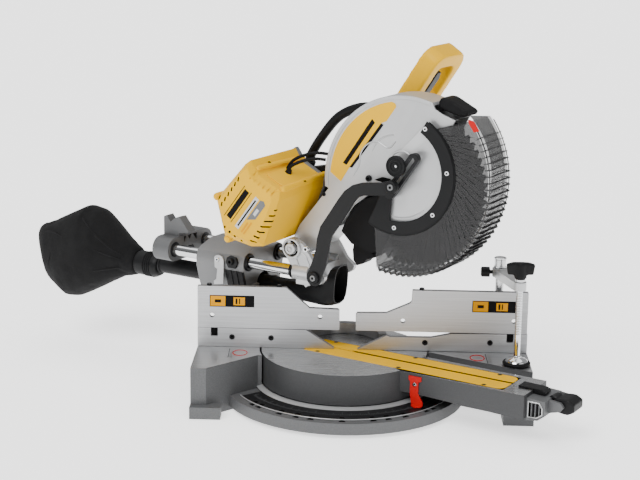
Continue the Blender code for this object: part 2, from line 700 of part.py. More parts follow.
def d_handle(holder):
    outline = [(0, 55), (0, 178)] + arc((84, 140), 38, 90, 0, 8) + arc((97, 80), 25, 0, -90, 6)
    handle = handle_block("d_handle", outline, 18)
    opening = [(18, 84), (18, 150)] + arc((76, 134), 16, 90, 0, 4) + arc((84, 92), 8, 0, -90, 3)
    cut(handle, handle_block("opening", opening, 30))
    hang(handle, holder, "yellow")


def trigger(holder):
    near = 84.3 + TRIGGER_TRAVEL
    bar = handle_block("trigger", [(20, near), (20, 112), (66, 114), (82, 104), (82, near)], 17)
    hang(bar, holder, "black_plastic")


def kerf_deflector(holder):
    """The shroud behind the blade: a near wall, a back rim and a narrower flap below them."""
    outline = [(92, 322), (50, 308), (34, 291), (14, 265), (4, 241), (26, 220), (70, 208), (92, 214),
               (110, 250), (110, 310)]
    flap = [(24, 236), (26, 221), (23, 205), (25, 185), (33, 176), (46, 181), (54, 191), (70, 196),
            (92, 214), (92, 236)]
    shroud = join(loft("kerf_deflector", side(outline, -26, 22)), loft("flap", side(flap, -15, 15)))
    cut(shroud, across("blade_room", ARBOR, -22, 40, 156, 64))
    hang(shroud, holder, "rubber")


def build_head(saw_frame):
    chop = pivot("chop_axis", saw_frame, saw(*HEAD_PIVOT, 0))
    upper_guard(chop)
    belt_case(chop)
    motor_housing(chop)
    d_handle(chop)
    trigger(pivot("trigger_slide", saw_frame, saw(120, 540, 92)))
    route = ((-119, 343.5), (-113, 364), (-86, 405), (-52, 443), (-8, 464), (40, 468))
    handle = [saw(t, z, 53.5) for t, z in route]
    hang(tube("carry_handle", handle, 9.5), chop, "black_plastic")
    bumper = [(197.5, 494), (198, 506), (203, 512), (214, 511), (253, 491.5), (257, 487), (254, 481),
              (240, 480), (212, 487)]
    hang(loft("guard_bumper", side(bumper, -22, 22)), chop, "rubber")
    kerf_deflector(chop)
    for i, h in enumerate((-62, -50)):
        route = [(-94, 347.5, h), (-88, 360, h + 3), (-70, 370, h + 13), (-50, 375, h + 23),
                 (-31, 373.5, h + 34)]
        cable = [saw(t - 3 * i, z + 9 * i, h) for t, z, h in route]
        cable[0] = saw(-94 - 9 * i, 347.5 + 4.5 * i, h)
        cable[-1] = saw(-31 + 1.4 * i, 373.5 + 9 * i, h + 34)
        hang(tube("motor_cable_%d" % (i + 1), cable, 3.2, 2), chop, "rubber")


def build_drive(saw_frame):
    spin = pivot("blade_axis", saw_frame, saw(*ARBOR, 0))
    shaft = [(-12, 10), (1.8, 10), (1.8, 26), (6, 26), (6, 10), (54, 10)]
    hang(turned("arbor_shaft", saw(*ARBOR, 0), (1, 0, 0), shaft, 24), spin, "steel")
    outline = []
    for i in range(TEETH):
        for share, radius in ((0.0, BLADE_RADIUS), (0.25, BLADE_RADIUS - 0.6), (0.4, 144.5)):
            angle = 2 * math.pi * (i + share) / TEETH
            outline.append((ARBOR[0] + radius * math.cos(angle), ARBOR[1] + radius * math.sin(angle)))
    blade = loft("saw_blade", side(outline, -BLADE_HALF, BLADE_HALF))
    hang(cut(blade, across("arbor_hole", ARBOR, -9, 9, 10.3)), spin, "steel")
    hang(collar("blade_flange", ARBOR, -7, -1.8, 10.3, 26), spin, "steel")
    bolt = [(-19, 8), (-12.3, 8)]
    hang(turned("arbor_bolt", saw(*ARBOR, 0), (1, 0, 0), bolt, 6), spin, "black_steel")
    hang(collar("driven_pulley", ARBOR, 39, 53, 10.3, 36), spin, "steel")
    motor = pivot("motor_axis", saw_frame, saw(*MOTOR_AXIS, 0))
    rotor = [(-118, 8), (-105, 8), (-105, 24), (-20, 24), (-20, 8), (39, 8), (39, 15), (53, 15)]
    hang(turned("motor_rotor", saw(*MOTOR_AXIS, 0), (1, 0, 0), rotor, 24), motor, "steel")
    chop = bpy.data.objects["chop_axis"]
    belt = loft("drive_belt", side(hull(ARBOR, 39.3, MOTOR_AXIS, 18.3, 14), 40, 52))
    cut(belt, loft("inside", side(hull(ARBOR, 36.3, MOTOR_AXIS, 15.3, 14), 38, 60)))
    hang(belt, chop, "rubber")


# Moving blade guard and its link

def build_guard(saw_frame):
    swing = pivot("guard_axis", saw_frame, saw(*GUARD_PIVOT, 0))
    profile = ((96, -40), (183, -40), (186, -36), (186, 36), (183, 40), (150, 40), (150, 36.8), (179, 36.8),
               (179, -36.8), (96, -36.8))
    rings = []
    for i in range(37):
        share = i / 36
        ring = []
        for radius, h in profile:
            lean = (radius - 96) / 90
            start, end = 240 + 18 * lean, 422 - 24.4 * lean
            turn = math.radians(start + (end - start) * share)
            reach, rise = radius * math.cos(turn), radius * math.sin(turn)
            ring.append(saw(GUARD_RIM[0] + reach, GUARD_RIM[1] + rise, h))
        rings.append(ring)
    hang(loft("lower_guard", rings), swing, "smoke")
    plate = arc(GUARD_RING, 97, -105, 62, 24) + [(122, 400)]
    plate += arc(GUARD_PIVOT, 22, 100, 200, 6) + [(112, 330)]
    plate = loft("guard_plate", side(plate, -36.2, -33.4))
    cut(plate, across("hub_bore", GUARD_PIVOT, -50, -30, bore(8, 20), 20))
    hang(plate, swing, "silver_cast")
    ring = arc(GUARD_RING, 115.3, 240, 420, 28) + arc(GUARD_RING, 90.6, 420, 262, 24)
    ring += [(120, 332), (98, 332)]
    hang(loft("guard_ring", side(ring, -43.6, -40.3)), swing, "black_plastic")
    cam = loft("guard_cam", side(ribbon([(120, 331), (132, 350), (168, 402)], (9, 13, 13.5)), -50, -44.3))
    join(cam, across("hub", GUARD_PIVOT, -56, -44.3, 20, 24))
    cut(cam, loft("slot", side(ribbon([(133, 354), (165, 400)], (5.5, 5.5)), -60, -40)))
    cut(cam, across("hub_bore", GUARD_PIVOT, -50, -30, bore(8, 20), 20))
    hang(cam, swing, "black_plastic")
    link_axis = pivot("link_axis", saw_frame, saw(*LINK_PIVOT, 0))
    path = [LINK_PIVOT, (-14.7, 187), (-9, 212), (-7.5, 229), (-1, 249), (17, 276), (37, 306), (47, 321),
            (60, 332.5), (75, 338), (95, 340.5), (115, 343), LINK_ROLLER]
    widths = (15, 15, 14, 14, 15, 15, 15, 14, 12.5, 12, 12, 12, 12)
    link = loft("guard_link", side(ribbon(path, widths), LINK_NEAR, LINK_FAR))
    for centre, radius in ((LINK_PIVOT, 16), (LINK_ROLLER, 12.5)):
        join(link, across("end", centre, LINK_NEAR, LINK_FAR, radius, 20))
    join(link, across("pin", LINK_PIVOT, LINK_NEAR - 2, -51, 6, 16))
    join(link, across("roller", LINK_ROLLER, LINK_NEAR - 2, -58.5, 8, 16))
    hang(link, link_axis, "black_steel")


def main():
    for obj in list(bpy.data.objects):
        bpy.data.objects.remove(obj)
    place = Vector((-BOX_CENTRE[0], -BOX_CENTRE[1], TABLE_HEIGHT)) * MM
    base_frame = empty("base_frame", None, place)
    saw_frame = empty("mitre_axis", base_frame)
    saw_frame.rotation_euler.z = MITRE_ANGLE
    bpy.context.view_layer.update()
    build_base(base_frame)
    build_clamp(base_frame)
    build_table(saw_frame)
    build_bevel(saw_frame)
    build_carriage(saw_frame)
    build_head(saw_frame)
    build_drive(saw_frame)
    build_guard(saw_frame)


main()
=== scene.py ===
"""The looks of the sliding mitre saw: finishes, rounded edges and fine detail round its CAD frame."""
import json
import math

import bmesh
import bpy
from mathutils import Matrix, Vector
from mathutils.bvhtree import BVHTree


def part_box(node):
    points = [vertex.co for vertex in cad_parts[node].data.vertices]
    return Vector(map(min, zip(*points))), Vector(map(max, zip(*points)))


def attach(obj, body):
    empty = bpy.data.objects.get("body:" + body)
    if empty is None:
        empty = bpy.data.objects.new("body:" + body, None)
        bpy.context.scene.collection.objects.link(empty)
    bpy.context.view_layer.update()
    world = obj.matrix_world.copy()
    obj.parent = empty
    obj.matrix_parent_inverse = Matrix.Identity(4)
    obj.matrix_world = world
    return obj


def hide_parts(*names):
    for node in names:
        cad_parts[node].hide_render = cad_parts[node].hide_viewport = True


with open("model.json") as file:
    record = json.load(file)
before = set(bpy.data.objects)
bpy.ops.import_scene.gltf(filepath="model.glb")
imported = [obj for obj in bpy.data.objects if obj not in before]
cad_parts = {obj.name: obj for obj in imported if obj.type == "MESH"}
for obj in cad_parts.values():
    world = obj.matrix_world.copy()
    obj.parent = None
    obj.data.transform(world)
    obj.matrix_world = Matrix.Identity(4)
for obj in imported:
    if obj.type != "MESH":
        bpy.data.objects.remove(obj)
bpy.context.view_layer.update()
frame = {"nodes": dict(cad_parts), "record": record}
NODES = frame["nodes"]
BODIES = frame["record"]["behaviour"]["bodies"]
BODY_OF = {node: body for body, members in BODIES.items() for node in members}
SLOT_OF = {row["node"]: row["material_slot"] for row in frame["record"]["subparts"]}
SLOTS = set(SLOT_OF.values())
MM = 0.001
FACING = math.radians(60.0)
FORWARD = Vector((math.sin(FACING), -math.cos(FACING), 0))
RIGHT = Vector((math.cos(FACING), math.sin(FACING), 0))
UP = Vector((0, 0, 1))
BACK = Vector((0, 1, 0))


def middle(node):
    low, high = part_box(node)
    return (low + high) / 2


PIVOT = Vector((*middle("mitre_pivot_bolt").xy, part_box("kerf_plate_left")[1].z))


def saw(t, z, h):
    """A point of the turned saw: t to its front, z up from the table top, h to its right, in mm."""
    return PIVOT + FORWARD * (t * MM) + RIGHT * (h * MM) + UP * (z * MM)


def base(x, y, z):
    """A point of the base: x along the fence, y away from it, z up from the table top, in mm."""
    return PIVOT + Vector((x, y, z)) * MM


def side_point(node_point):
    """(t, z, h) of a world point, in mm."""
    offset = node_point - PIVOT
    return offset.dot(FORWARD) / MM, offset.z / MM, offset.dot(RIGHT) / MM


def linked(name, data):
    """A new object in the scene."""
    obj = bpy.data.objects.new(name, data)
    bpy.context.scene.collection.objects.link(obj)
    return obj


ARBOR = side_point(middle("saw_blade"))[:2]


# Camera and light

VIEW_ANGLES = (1.413, 13.779, 0.876)
VIEW_TARGET = (-50.06, 0, 216.63)
VIEW_DISTANCE = 2.9791
LENS, SENSOR_WIDTH = 88.18, 36.0
WORLD_LIGHT, WORLD_DIM = 0.45, 0.08
FLOOR_REACH, FLOOR_DROP = 14.0, 0.0005


def camera():
    """Looks at the saw from the front: azimuth, elevation and roll in degrees, target in mm."""
    azimuth, elevation, roll = (math.radians(angle) for angle in VIEW_ANGLES)
    back = Vector((math.sin(azimuth) * math.cos(elevation), -math.cos(azimuth) * math.cos(elevation),
                   math.sin(elevation)))
    target = PIVOT + Vector(VIEW_TARGET) * MM
    right = Vector((math.cos(azimuth), math.sin(azimuth), 0))
    up = back.cross(right)
    tilted_right = right * math.cos(roll) + up * math.sin(roll)
    tilted_up = up * math.cos(roll) - right * math.sin(roll)
    data = bpy.data.cameras.new("camera")
    data.lens, data.sensor_width = LENS, SENSOR_WIDTH
    obj = linked("camera", data)
    turn = Matrix((tilted_right, tilted_up, back)).transposed()
    obj.matrix_world = Matrix.Translation(target + back * VIEW_DISTANCE) @ turn.to_4x4()
    bpy.context.scene.camera = obj


def sun(name, towards, strength, spread):
    """A soft sun: evenly bright over the whole floor, so that the background stays even."""
    data = bpy.data.lights.new(name, "SUN")
    data.energy, data.angle = strength, math.radians(spread)
    obj = linked(name, data)
    obj.rotation_euler = Vector(towards).to_track_quat("-Z", "Y").to_euler()


def studio():
    """A pale room, dimmer towards the front, with three soft suns and a paper floor."""
    world = bpy.data.worlds.new("studio")
    world.use_nodes = True
    background = world.node_tree.nodes["Background"]
    background.inputs["Color"].default_value = (1, 1, 1, 1)
    nodes = world.node_tree.nodes
    direction = nodes.new("ShaderNodeTexCoord")
    parts = nodes.new("ShaderNodeSeparateXYZ")
    span = nodes.new("ShaderNodeMapRange")
    for key, number in (("From Min", -0.7), ("From Max", 0.4), ("To Min", WORLD_DIM),
                        ("To Max", WORLD_LIGHT)):
        span.inputs[key].default_value = number
    world.node_tree.links.new(direction.outputs["Generated"], parts.inputs[0])
    world.node_tree.links.new(parts.outputs["Y"], span.inputs["Value"])
    world.node_tree.links.new(span.outputs["Result"], background.inputs["Strength"])
    bpy.context.scene.world = world
    sun("key", (0.45, 0.75, -1.0), 2.6, 32)
    sun("fill", (-0.8, 0.7, -0.35), 0.8, 60)
    sun("top", (0.05, -0.15, -1.0), 1.5, 70)
    mesh = bpy.data.meshes.new("floor")
    corners = ((-1, -1), (1, -1), (1, 1), (-1, 1))
    mesh.from_pydata([(x * FLOOR_REACH, y * FLOOR_REACH, 0) for x, y in corners], [], [(0, 1, 2, 3)])
    floor = linked("floor", mesh)
    floor.location.z = -FLOOR_DROP
    floor.data.materials.append(floor_finish())


# Finishes

class Wires:
    """A short way to place and join shader nodes."""

    def __init__(self, material):
        self.tree = material.node_tree
        self.shader = self.tree.nodes["Principled BSDF"]

    def node(self, kind, **settings):
        made = self.tree.nodes.new(kind)
        for key, value in settings.items():
            setattr(made, key, value)
        return made

    def link(self, start, end):
        self.tree.links.new(start, end)

    def feed(self, socket, value):
        self.link(value, self.shader.inputs[socket])

    def fix(self, socket, value):
        self.shader.inputs[socket].default_value = value

    def place(self, scale=(1, 1, 1), turn=0.0):
        source = self.node("ShaderNodeTexCoord")
        mapping = self.node("ShaderNodeMapping")
        mapping.inputs["Scale"].default_value = scale
        mapping.inputs["Rotation"].default_value = (0, 0, turn)
        self.link(source.outputs["Object"], mapping.inputs["Vector"])
        return mapping.outputs["Vector"]

    def noise(self, vector, scale, detail=3.0, rough=0.55):
        made = self.node("ShaderNodeTexNoise")
        made.inputs["Scale"].default_value = scale
        made.inputs["Detail"].default_value = detail
        made.inputs["Roughness"].default_value = rough
        self.link(vector, made.inputs["Vector"])
        return made.outputs["Fac"]

    def ramp(self, value, low, high, start=0.35, end=0.65):
        made = self.node("ShaderNodeValToRGB")
        made.color_ramp.elements[0].position, made.color_ramp.elements[1].position = start, end
        made.color_ramp.elements[0].color, made.color_ramp.elements[1].color = (*low, 1), (*high, 1)
        self.link(value, made.inputs["Fac"])
        return made.outputs["Color"]

    def span(self, value, low, high, start=0.3, end=0.7):
        made = self.node("ShaderNodeMapRange")
        for key, number in (("From Min", start), ("From Max", end), ("To Min", low), ("To Max", high)):
            made.inputs[key].default_value = number
        self.link(value, made.inputs["Value"])
        return made.outputs["Result"]

    def bump(self, height, strength, distance, normal=None):
        made = self.node("ShaderNodeBump")
        made.inputs["Strength"].default_value = strength
        made.inputs["Distance"].default_value = distance
        self.link(height, made.inputs["Height"])
        if normal:
            self.link(normal, made.inputs["Normal"])
        return made.outputs["Normal"]

    def math(self, operation, first, second=None):
        made = self.node("ShaderNodeMath", operation=operation)
        for socket, value in zip(made.inputs, (first, second)):
            if isinstance(value, (int, float)):
                socket.default_value = value
            elif value is not None:
                self.link(value, socket)
        return made.outputs[0]


def shaded(colour, factor):
    return tuple(min(1.0, channel * factor) for channel in colour)


def blank(name, roughness, metallic, coat=0.0, shine=0.35):
    material = bpy.data.materials.new(name)
    material.use_nodes = True
    wires = Wires(material)
    wires.fix("Roughness", roughness)
    wires.fix("Metallic", metallic)
    wires.fix("Coat Weight", coat)
    wires.fix("Coat Roughness", 0.12)
    wires.fix("Specular IOR Level", shine)
    return material, wires


def finish(name, colour, roughness, metallic, grain=900, depth=0.12, spread=0.10, wear=0.0, coat=0.0,
           shine=0.35, stretch=(1, 1, 1), turn=0.0):
    """A grained surface: colour and gloss that drift a little, fine bump, and paler worn edges."""
    material, wires = blank(name, roughness, metallic, coat, shine)
    place = wires.place(stretch, turn)
    drift = wires.noise(wires.place(), 9, 4)
    fine = wires.noise(place, grain, 3)
    tint = wires.ramp(drift, shaded(colour, 1 - spread), shaded(colour, 1 + spread))
    if wear:
        edges = wires.node("ShaderNodeNewGeometry").outputs["Pointiness"]
        worn = wires.span(edges, 0.0, wear, 0.53, 0.60)
        mix = wires.node("ShaderNodeMix", data_type="RGBA")
        wires.link(worn, mix.inputs["Factor"])
        wires.link(tint, mix.inputs["A"])
        mix.inputs["B"].default_value = (*shaded(colour, 1.9), 1)
        tint = mix.outputs["Result"]
    wires.feed("Base Color", tint)
    wires.feed("Roughness", wires.span(fine, roughness * 0.86, min(1, roughness * 1.16)))
    wires.feed("Normal", wires.bump(fine, depth, 0.0004))
    return material


def machined_top(name, metal, paint, facing=(0, 0, 1), height=None, turn=0.0, rough=0.3):
    """Machined metal where the surface faces one way, rough painted casting everywhere else."""
    material, wires = blank(name, rough, 1.0)
    along = wires.place((7, 900, 900), turn)
    streak = wires.noise(along, 1.0, 4, 0.7)
    cast = wires.noise(wires.place(), 700, 2)
    source = wires.node("ShaderNodeTexCoord")
    dot = wires.node("ShaderNodeVectorMath", operation="DOT_PRODUCT")
    wires.link(source.outputs["Normal"], dot.inputs[0])
    dot.inputs[1].default_value = facing
    flat = wires.span(dot.outputs["Value"], 0, 1, 0.90, 0.97)
    if height is not None:
        parts = wires.node("ShaderNodeSeparateXYZ")
        wires.link(source.outputs["Object"], parts.inputs[0])
        flat = wires.math("MULTIPLY", flat, wires.span(parts.outputs["Z"], 0, 1, height - 0.004,
                                                       height - 0.003))
    bright = wires.ramp(streak, shaded(metal, 0.80), shaded(metal, 1.12), 0.3, 0.7)
    dull = wires.ramp(cast, shaded(paint, 0.85), shaded(paint, 1.12))
    mix = wires.node("ShaderNodeMix", data_type="RGBA")
    wires.link(flat, mix.inputs["Factor"])
    wires.link(dull, mix.inputs["A"])
    wires.link(bright, mix.inputs["B"])
    wires.feed("Base Color", mix.outputs["Result"])
    wires.feed("Metallic", wires.span(flat, 0.15, 1.0, 0, 1))
    gloss = wires.math("ADD", wires.span(flat, 0.52, rough, 0, 1), wires.span(streak, -0.05, 0.05))
    wires.feed("Roughness", gloss)
    height_mix = wires.math("ADD", wires.math("MULTIPLY", streak, flat),
                            wires.math("MULTIPLY", cast, wires.math("SUBTRACT", 1.0, flat)))
    wires.feed("Normal", wires.bump(height_mix, 0.10, 0.0003))
    return material


def floor_finish():
    """Even matt white paper that glows a little, so that the ground stays pale."""
    material, wires = blank("floor_paper", 0.95, 0.0)
    drift = wires.noise(wires.place(), 3, 2)
    wires.feed("Base Color", wires.ramp(drift, (0.915, 0.915, 0.915), (0.93, 0.93, 0.93)))
    wires.fix("Specular IOR Level", 0.0)
    wires.fix("Emission Color", (1, 1, 1, 1))
    wires.fix("Emission Strength", 1.3)
    return material


def turned_metal(name, colour, centre, roughness=0.28):
    """Steel ground in rings round the blade's axis, with fine scratches of uneven gloss."""
    material, wires = blank(name, roughness, 1.0)
    source = wires.node("ShaderNodeTexCoord")
    offset = wires.node("ShaderNodeVectorMath", operation="SUBTRACT")
    wires.link(source.outputs["Object"], offset.inputs[0])
    offset.inputs[1].default_value = centre
    length = wires.node("ShaderNodeVectorMath", operation="LENGTH")
    wires.link(offset.outputs[0], length.inputs[0])
    join = wires.node("ShaderNodeCombineXYZ")
    wires.link(length.outputs["Value"], join.inputs[0])
    rings = wires.noise(join.outputs[0], 1600, 3)
    patches = wires.noise(wires.place(), 24, 3)
    wires.feed("Base Color", wires.ramp(rings, shaded(colour, 0.72), shaded(colour, 1.15)))
    gloss = wires.math("ADD", wires.span(rings, roughness * 0.7, roughness * 1.3),
                       wires.span(patches, -0.04, 0.06))
    wires.feed("Roughness", gloss)
    wires.feed("Normal", wires.bump(rings, 0.08, 0.0002))
    return material


def cloth_finish():
    """Tight plain weave of black yarn with a soft sheen and faint creases."""
    material, wires = blank("bag_cloth", 0.92, 0.0, shine=0.12)
    wires.fix("Sheen Weight", 0.04)
    wires.fix("Sheen Roughness", 0.5)
    threads = []
    for turn in (0.0, math.pi / 2):
        wave = wires.node("ShaderNodeTexWave", wave_type="BANDS", bands_direction="X")
        wave.inputs["Scale"].default_value = 420
        wave.inputs["Distortion"].default_value = 0.6
        mapping = wires.place((1, 1, 1), turn)
        wires.link(mapping, wave.inputs["Vector"])
        threads.append(wave.outputs["Fac"])
    up_wave = wires.node("ShaderNodeTexWave", wave_type="BANDS", bands_direction="Z")
    up_wave.inputs["Scale"].default_value = 420
    wires.link(wires.place(), up_wave.inputs["Vector"])
    weave = wires.math("MULTIPLY", wires.math("MAXIMUM", threads[0], threads[1]), up_wave.outputs["Fac"])
    drift = wires.noise(wires.place(), 14, 4)
    wires.feed("Base Color", wires.ramp(drift, (0.0050, 0.0050, 0.0053), (0.0095, 0.0095, 0.0099)))
    wires.feed("Normal", wires.bump(weave, 0.35, 0.0004, wires.bump(drift, 0.5, 0.008)))
    return material


def smoke_finish(name, cover, dark, light):
    """Smoke-tinted clear plastic with a glossy skin and a few hairline scratches."""
    material, wires = blank(name, 0.12, 0.0, 0.25, 0.25)
    scratch = wires.noise(wires.place((1, 1, 14)), 160, 5)
    wires.feed("Base Color", wires.ramp(scratch, dark, light))
    wires.feed("Roughness", wires.span(scratch, 0.08, 0.22))
    wires.feed("Normal", wires.bump(scratch, 0.06, 0.0003))
    wires.fix("Alpha", cover)
    material.surface_render_method = "DITHERED"
    return material


def make_finishes():
    table_z = PIVOT.z
    across_saw = FACING - math.pi / 2
    return {
        "cast_grey": finish("cast_grey_paint", (0.10, 0.102, 0.105), 0.48, 0.2, 750, 0.22, 0.08, wear=0.35),
        "housing_grey": finish("housing_grey_paint", (0.165, 0.167, 0.17), 0.42, 0.3, 750, 0.2, 0.07,
                               wear=0.35),
        "black_plastic": finish("black_nylon", (0.0075, 0.0077, 0.0082), 0.42, 0.0, 1100, 0.25, 0.12,
                                wear=0.5,
                                shine=0.14),
        "black_steel": finish("black_enamel", (0.0075, 0.0077, 0.0082), 0.36, 0.0, 900, 0.12, 0.1, wear=0.5,
                              shine=0.18),
        "machined": machined_top("brushed_fence", (0.50, 0.505, 0.515), (0.16, 0.16, 0.165), (0, -1, 0),
                                 rough=0.48),
        "silver_cast": finish("silver_paint", (0.47, 0.475, 0.48), 0.38, 0.55, 1000, 0.12, 0.06, wear=0.2),
        "chrome": finish("chrome_plate", (0.66, 0.67, 0.68), 0.09, 1.0, 500, 0.02, 0.03),
        "steel": finish("ground_steel", (0.56, 0.565, 0.57), 0.27, 1.0, 500, 0.08, 0.08),
        "yellow": finish("yellow_plastic", (0.82, 0.45, 0.0), 0.40, 0.0, 650, 0.10, 0.03, shine=0.12),
        "kerf_yellow": finish("kerf_plastic", (0.84, 0.46, 0.0), 0.5, 0.0, 900, 0.12, 0.04, shine=0.05),
        "red": finish("red_plastic", (0.50, 0.006, 0.006), 0.4, 0.0, 700, 0.08, 0.06, shine=0.12),
        "rubber": finish("soft_rubber", (0.0065, 0.0065, 0.007), 0.6, 0.0, 900, 0.3, 0.12, shine=0.12),
        "cloth": cloth_finish(),
        "smoke": smoke_finish("smoke_plastic", 0.70, (0.007, 0.007, 0.0075), (0.020, 0.020, 0.021)),
        "smoke_dark": smoke_finish("smoke_edges", 0.92, (0.010, 0.010, 0.011), (0.030, 0.030, 0.031)),
        "clear": smoke_finish("smoke_rim", 0.14, (0.30, 0.30, 0.30), (0.50, 0.50, 0.50)),
        "blade": turned_metal("blade_steel", (0.16, 0.162, 0.165), saw(*ARBOR, 0)),
        "carbide": finish("carbide_tips", (0.30, 0.30, 0.31), 0.3, 1.0, 900, 0.1, 0.1),
        "base_top": machined_top("base_casting_finish", (0.62, 0.625, 0.63), (0.105, 0.107, 0.11),
                                 height=table_z, rough=0.33),
        "table_top": machined_top("table_finish", (0.62, 0.625, 0.63), (0.050, 0.051, 0.053),
                                  height=table_z,
                                  turn=-across_saw, rough=0.26),
        "label_amber": finish("label_amber", (0.72, 0.31, 0.0), 0.5, 0.0, 900, 0.03, 0.03, shine=0.05),
        "label_black": finish("label_black", (0.006, 0.006, 0.0065), 0.5, 0.0, 900, 0.03, 0.05, shine=0.05),
        "label_grey": finish("label_grey", (0.14, 0.145, 0.15), 0.4, 0.0, 900, 0.03, 0.05, shine=0.15),
        "label_silver": finish("label_silver", (0.50, 0.505, 0.51), 0.3, 0.8, 900, 0.03, 0.05),
        # Near-black painted shade for recesses, slots, sockets, vents and holes, and the colour of dark
        # seams and lines.
        "dark_hollow": finish("dark_hollow", (0.004, 0.004, 0.004), 0.8, 0.0, 400, 0.1, 0.1, shine=0.05),
    }


FINISHES = make_finishes()


# Pieces

def new_piece(name, bm_or_mesh, body, finish_name, slot=None, smooth=35):
    """Adds a piece with its finish. It works out a slot from the finish's name, unless another or "" is
    given, but does not give the piece that slot.
    """
    if slot is None and finish_name in SLOTS:
        slot = finish_name
    if isinstance(bm_or_mesh, bmesh.types.BMesh):
        mesh = bpy.data.meshes.new(name)
        bm_or_mesh.to_mesh(mesh)
        bm_or_mesh.free()
    else:
        mesh = bm_or_mesh
    obj = linked(name, mesh)
    mesh.materials.clear()
    mesh.materials.append(FINISHES[finish_name])
    mesh.shade_smooth()
    mesh.set_sharp_from_angle(angle=math.radians(smooth))
    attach(obj, body)
    return obj


def baked(obj):
    """Turns the object's modifiers into its mesh."""
    bpy.context.view_layer.update()
    graph = bpy.context.evaluated_depsgraph_get()
    mesh = bpy.data.meshes.new_from_object(obj.evaluated_get(graph), depsgraph=graph)
    obj.modifiers.clear()
    old = obj.data
    obj.data = mesh
    bpy.data.meshes.remove(old)
    return obj


def even_shading(piece, angle=50):
    """Keeps broad faces flat in shade where small bevels meet them."""
    piece.data.shade_smooth()
    piece.data.set_sharp_from_angle(angle=math.radians(angle))
    weighted = piece.modifiers.new("even", "WEIGHTED_NORMAL")
    weighted.mode, weighted.weight, weighted.keep_sharp = "FACE_AREA", 60, True
    return baked(piece)


def bevelled(piece, width, segments, angle):
    bevel = piece.modifiers.new("round", "BEVEL")
    bevel.width, bevel.segments = width * MM, segments
    bevel.limit_method, bevel.angle_limit = "ANGLE", math.radians(angle)
    bevel.use_clamp_overlap = True
    return bevel


def rounded(node, width, finish_name=None, segments=2, angle=32):
    """A copy of a CAD node with its flat faces merged and its edges rounded, in its place."""
    bm = bmesh.new()
    bm.from_mesh(NODES[node].data)
    bmesh.ops.remove_doubles(bm, verts=bm.verts, dist=2e-6)
    bmesh.ops.dissolve_limit(bm, angle_limit=math.radians(0.6), verts=bm.verts, edges=bm.edges)
    piece = new_piece(node + "_body", bm, BODY_OF[node], finish_name or SLOT_OF[node], SLOT_OF[node])
    bevelled(piece, width, segments, angle).miter_outer = "MITER_ARC"
    baked(piece)
    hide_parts(node)
    return even_shading(piece)


def softened(node, voxel, passes, finish_name=None):
    """A copy of a CAD node melted to a moulded form with full round edges."""
    piece = new_piece(node + "_body", NODES[node].data.copy(), BODY_OF[node], finish_name or SLOT_OF[node],
                      SLOT_OF[node])
    grid = piece.modifiers.new("grid", "REMESH")
    grid.mode, grid.voxel_size = "VOXEL", voxel * MM
    melt = piece.modifiers.new("melt", "SMOOTH")
    melt.factor, melt.iterations = 0.5, passes
    baked(piece)
    piece.data.shade_smooth()
    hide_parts(node)
    return piece


def capsule(start, end, radius, steps=10):
    """A long outline with round ends."""
    lean = math.degrees(math.atan2(end[1] - start[1], end[0] - start[0]))
    return (arc(end, radius, lean - 90, lean + 90, steps)
            + arc(start, radius, lean + 90, lean + 270, steps))


def paint(node, finish_name):
    """Keeps a CAD node and gives it a finish."""
    obj = NODES[node]
    obj.data.materials.clear()
    obj.data.materials.append(FINISHES[finish_name])
    obj.data.shade_smooth()
    obj.data.set_sharp_from_angle(angle=math.radians(35))


# Shapes

def arc(centre, radius, start, end, steps):
    """Points round a centre from one angle to another, in degrees."""
    points = []
    for i in range(steps + 1):
        turn = math.radians(start + (end - start) * i / steps)
        points.append((centre[0] + radius * math.cos(turn), centre[1] + radius * math.sin(turn)))
    return points


def front(x, z, y):
    """A point of the base given as seen from the front: x to the right, z up, y away."""
    return base(x, y, z)


def deck(t, h, z):
    """A point of the turned table: t to its front, h to its right, z up."""
    return saw(t, z, h)


def solid(rings, closed=False):
    """A closed mesh through rings of equally many points."""
    bm = bmesh.new()
    rows = [[bm.verts.new(point) for point in ring] for ring in rings]
    count = len(rows[0])
    pairs = list(zip(rows, rows[1:]))
    if closed:
        pairs.append((rows[-1], rows[0]))
    for low, high in pairs:
        for i in range(count):
            j = (i + 1) % count
            bm.faces.new((low[i], low[j], high[j], high[i]))
    if not closed:
        bm.faces.new(rows[0][::-1])
        bm.faces.new(rows[-1])
    bmesh.ops.recalc_face_normals(bm, faces=bm.faces)
    return bm


def prism(outline, low, high, put=saw):
    return solid([[put(a, b, depth) for a, b in outline] for depth in (low, high)])


def lathe(profile, origin, axis, sides=32, hollow=False):
    """A turned solid from (radius, height) points along an axis; a hollow one is a ring of that section."""
    turn = Vector(axis).normalized().to_track_quat("Z", "Y").to_matrix()
    rings = []
    for radius, height in profile:
        ring = []
        for k in range(sides):
            angle = 2 * math.pi * k / sides
            offset = Vector((radius * math.cos(angle), radius * math.sin(angle), height)) * MM
            ring.append(Vector(origin) + turn @ offset)
        rings.append(ring)
    return solid(rings, hollow)


def pill(start, end, radius, sides=14):
    """A rod with round ends."""
    length = (Vector(end) - Vector(start)).length / MM
    low = [(radius * math.sin(a), -radius * math.cos(a)) for a in (0.25, 0.7, 1.15, math.pi / 2)]
    high = [(r, length - z) for r, z in reversed(low)]
    return lathe(low + high, start, Vector(end) - Vector(start), sides)


def smooth_path(points, steps=5):
    """A Catmull-Rom curve through the points."""
    path = []
    whole = [points[0] * 2 - points[1], *points, points[-1] * 2 - points[-2]]
    for a, b, c, d in zip(whole, whole[1:], whole[2:], whole[3:]):
        for i in range(steps):
            u = i / steps
            path.append(0.5 * (b * 2 + (c - a) * u + (a * 2 - b * 5 + c * 4 - d) * u * u
                               + (b * 3 - a - c * 3 + d) * u * u * u))
    return path + [points[-1]]


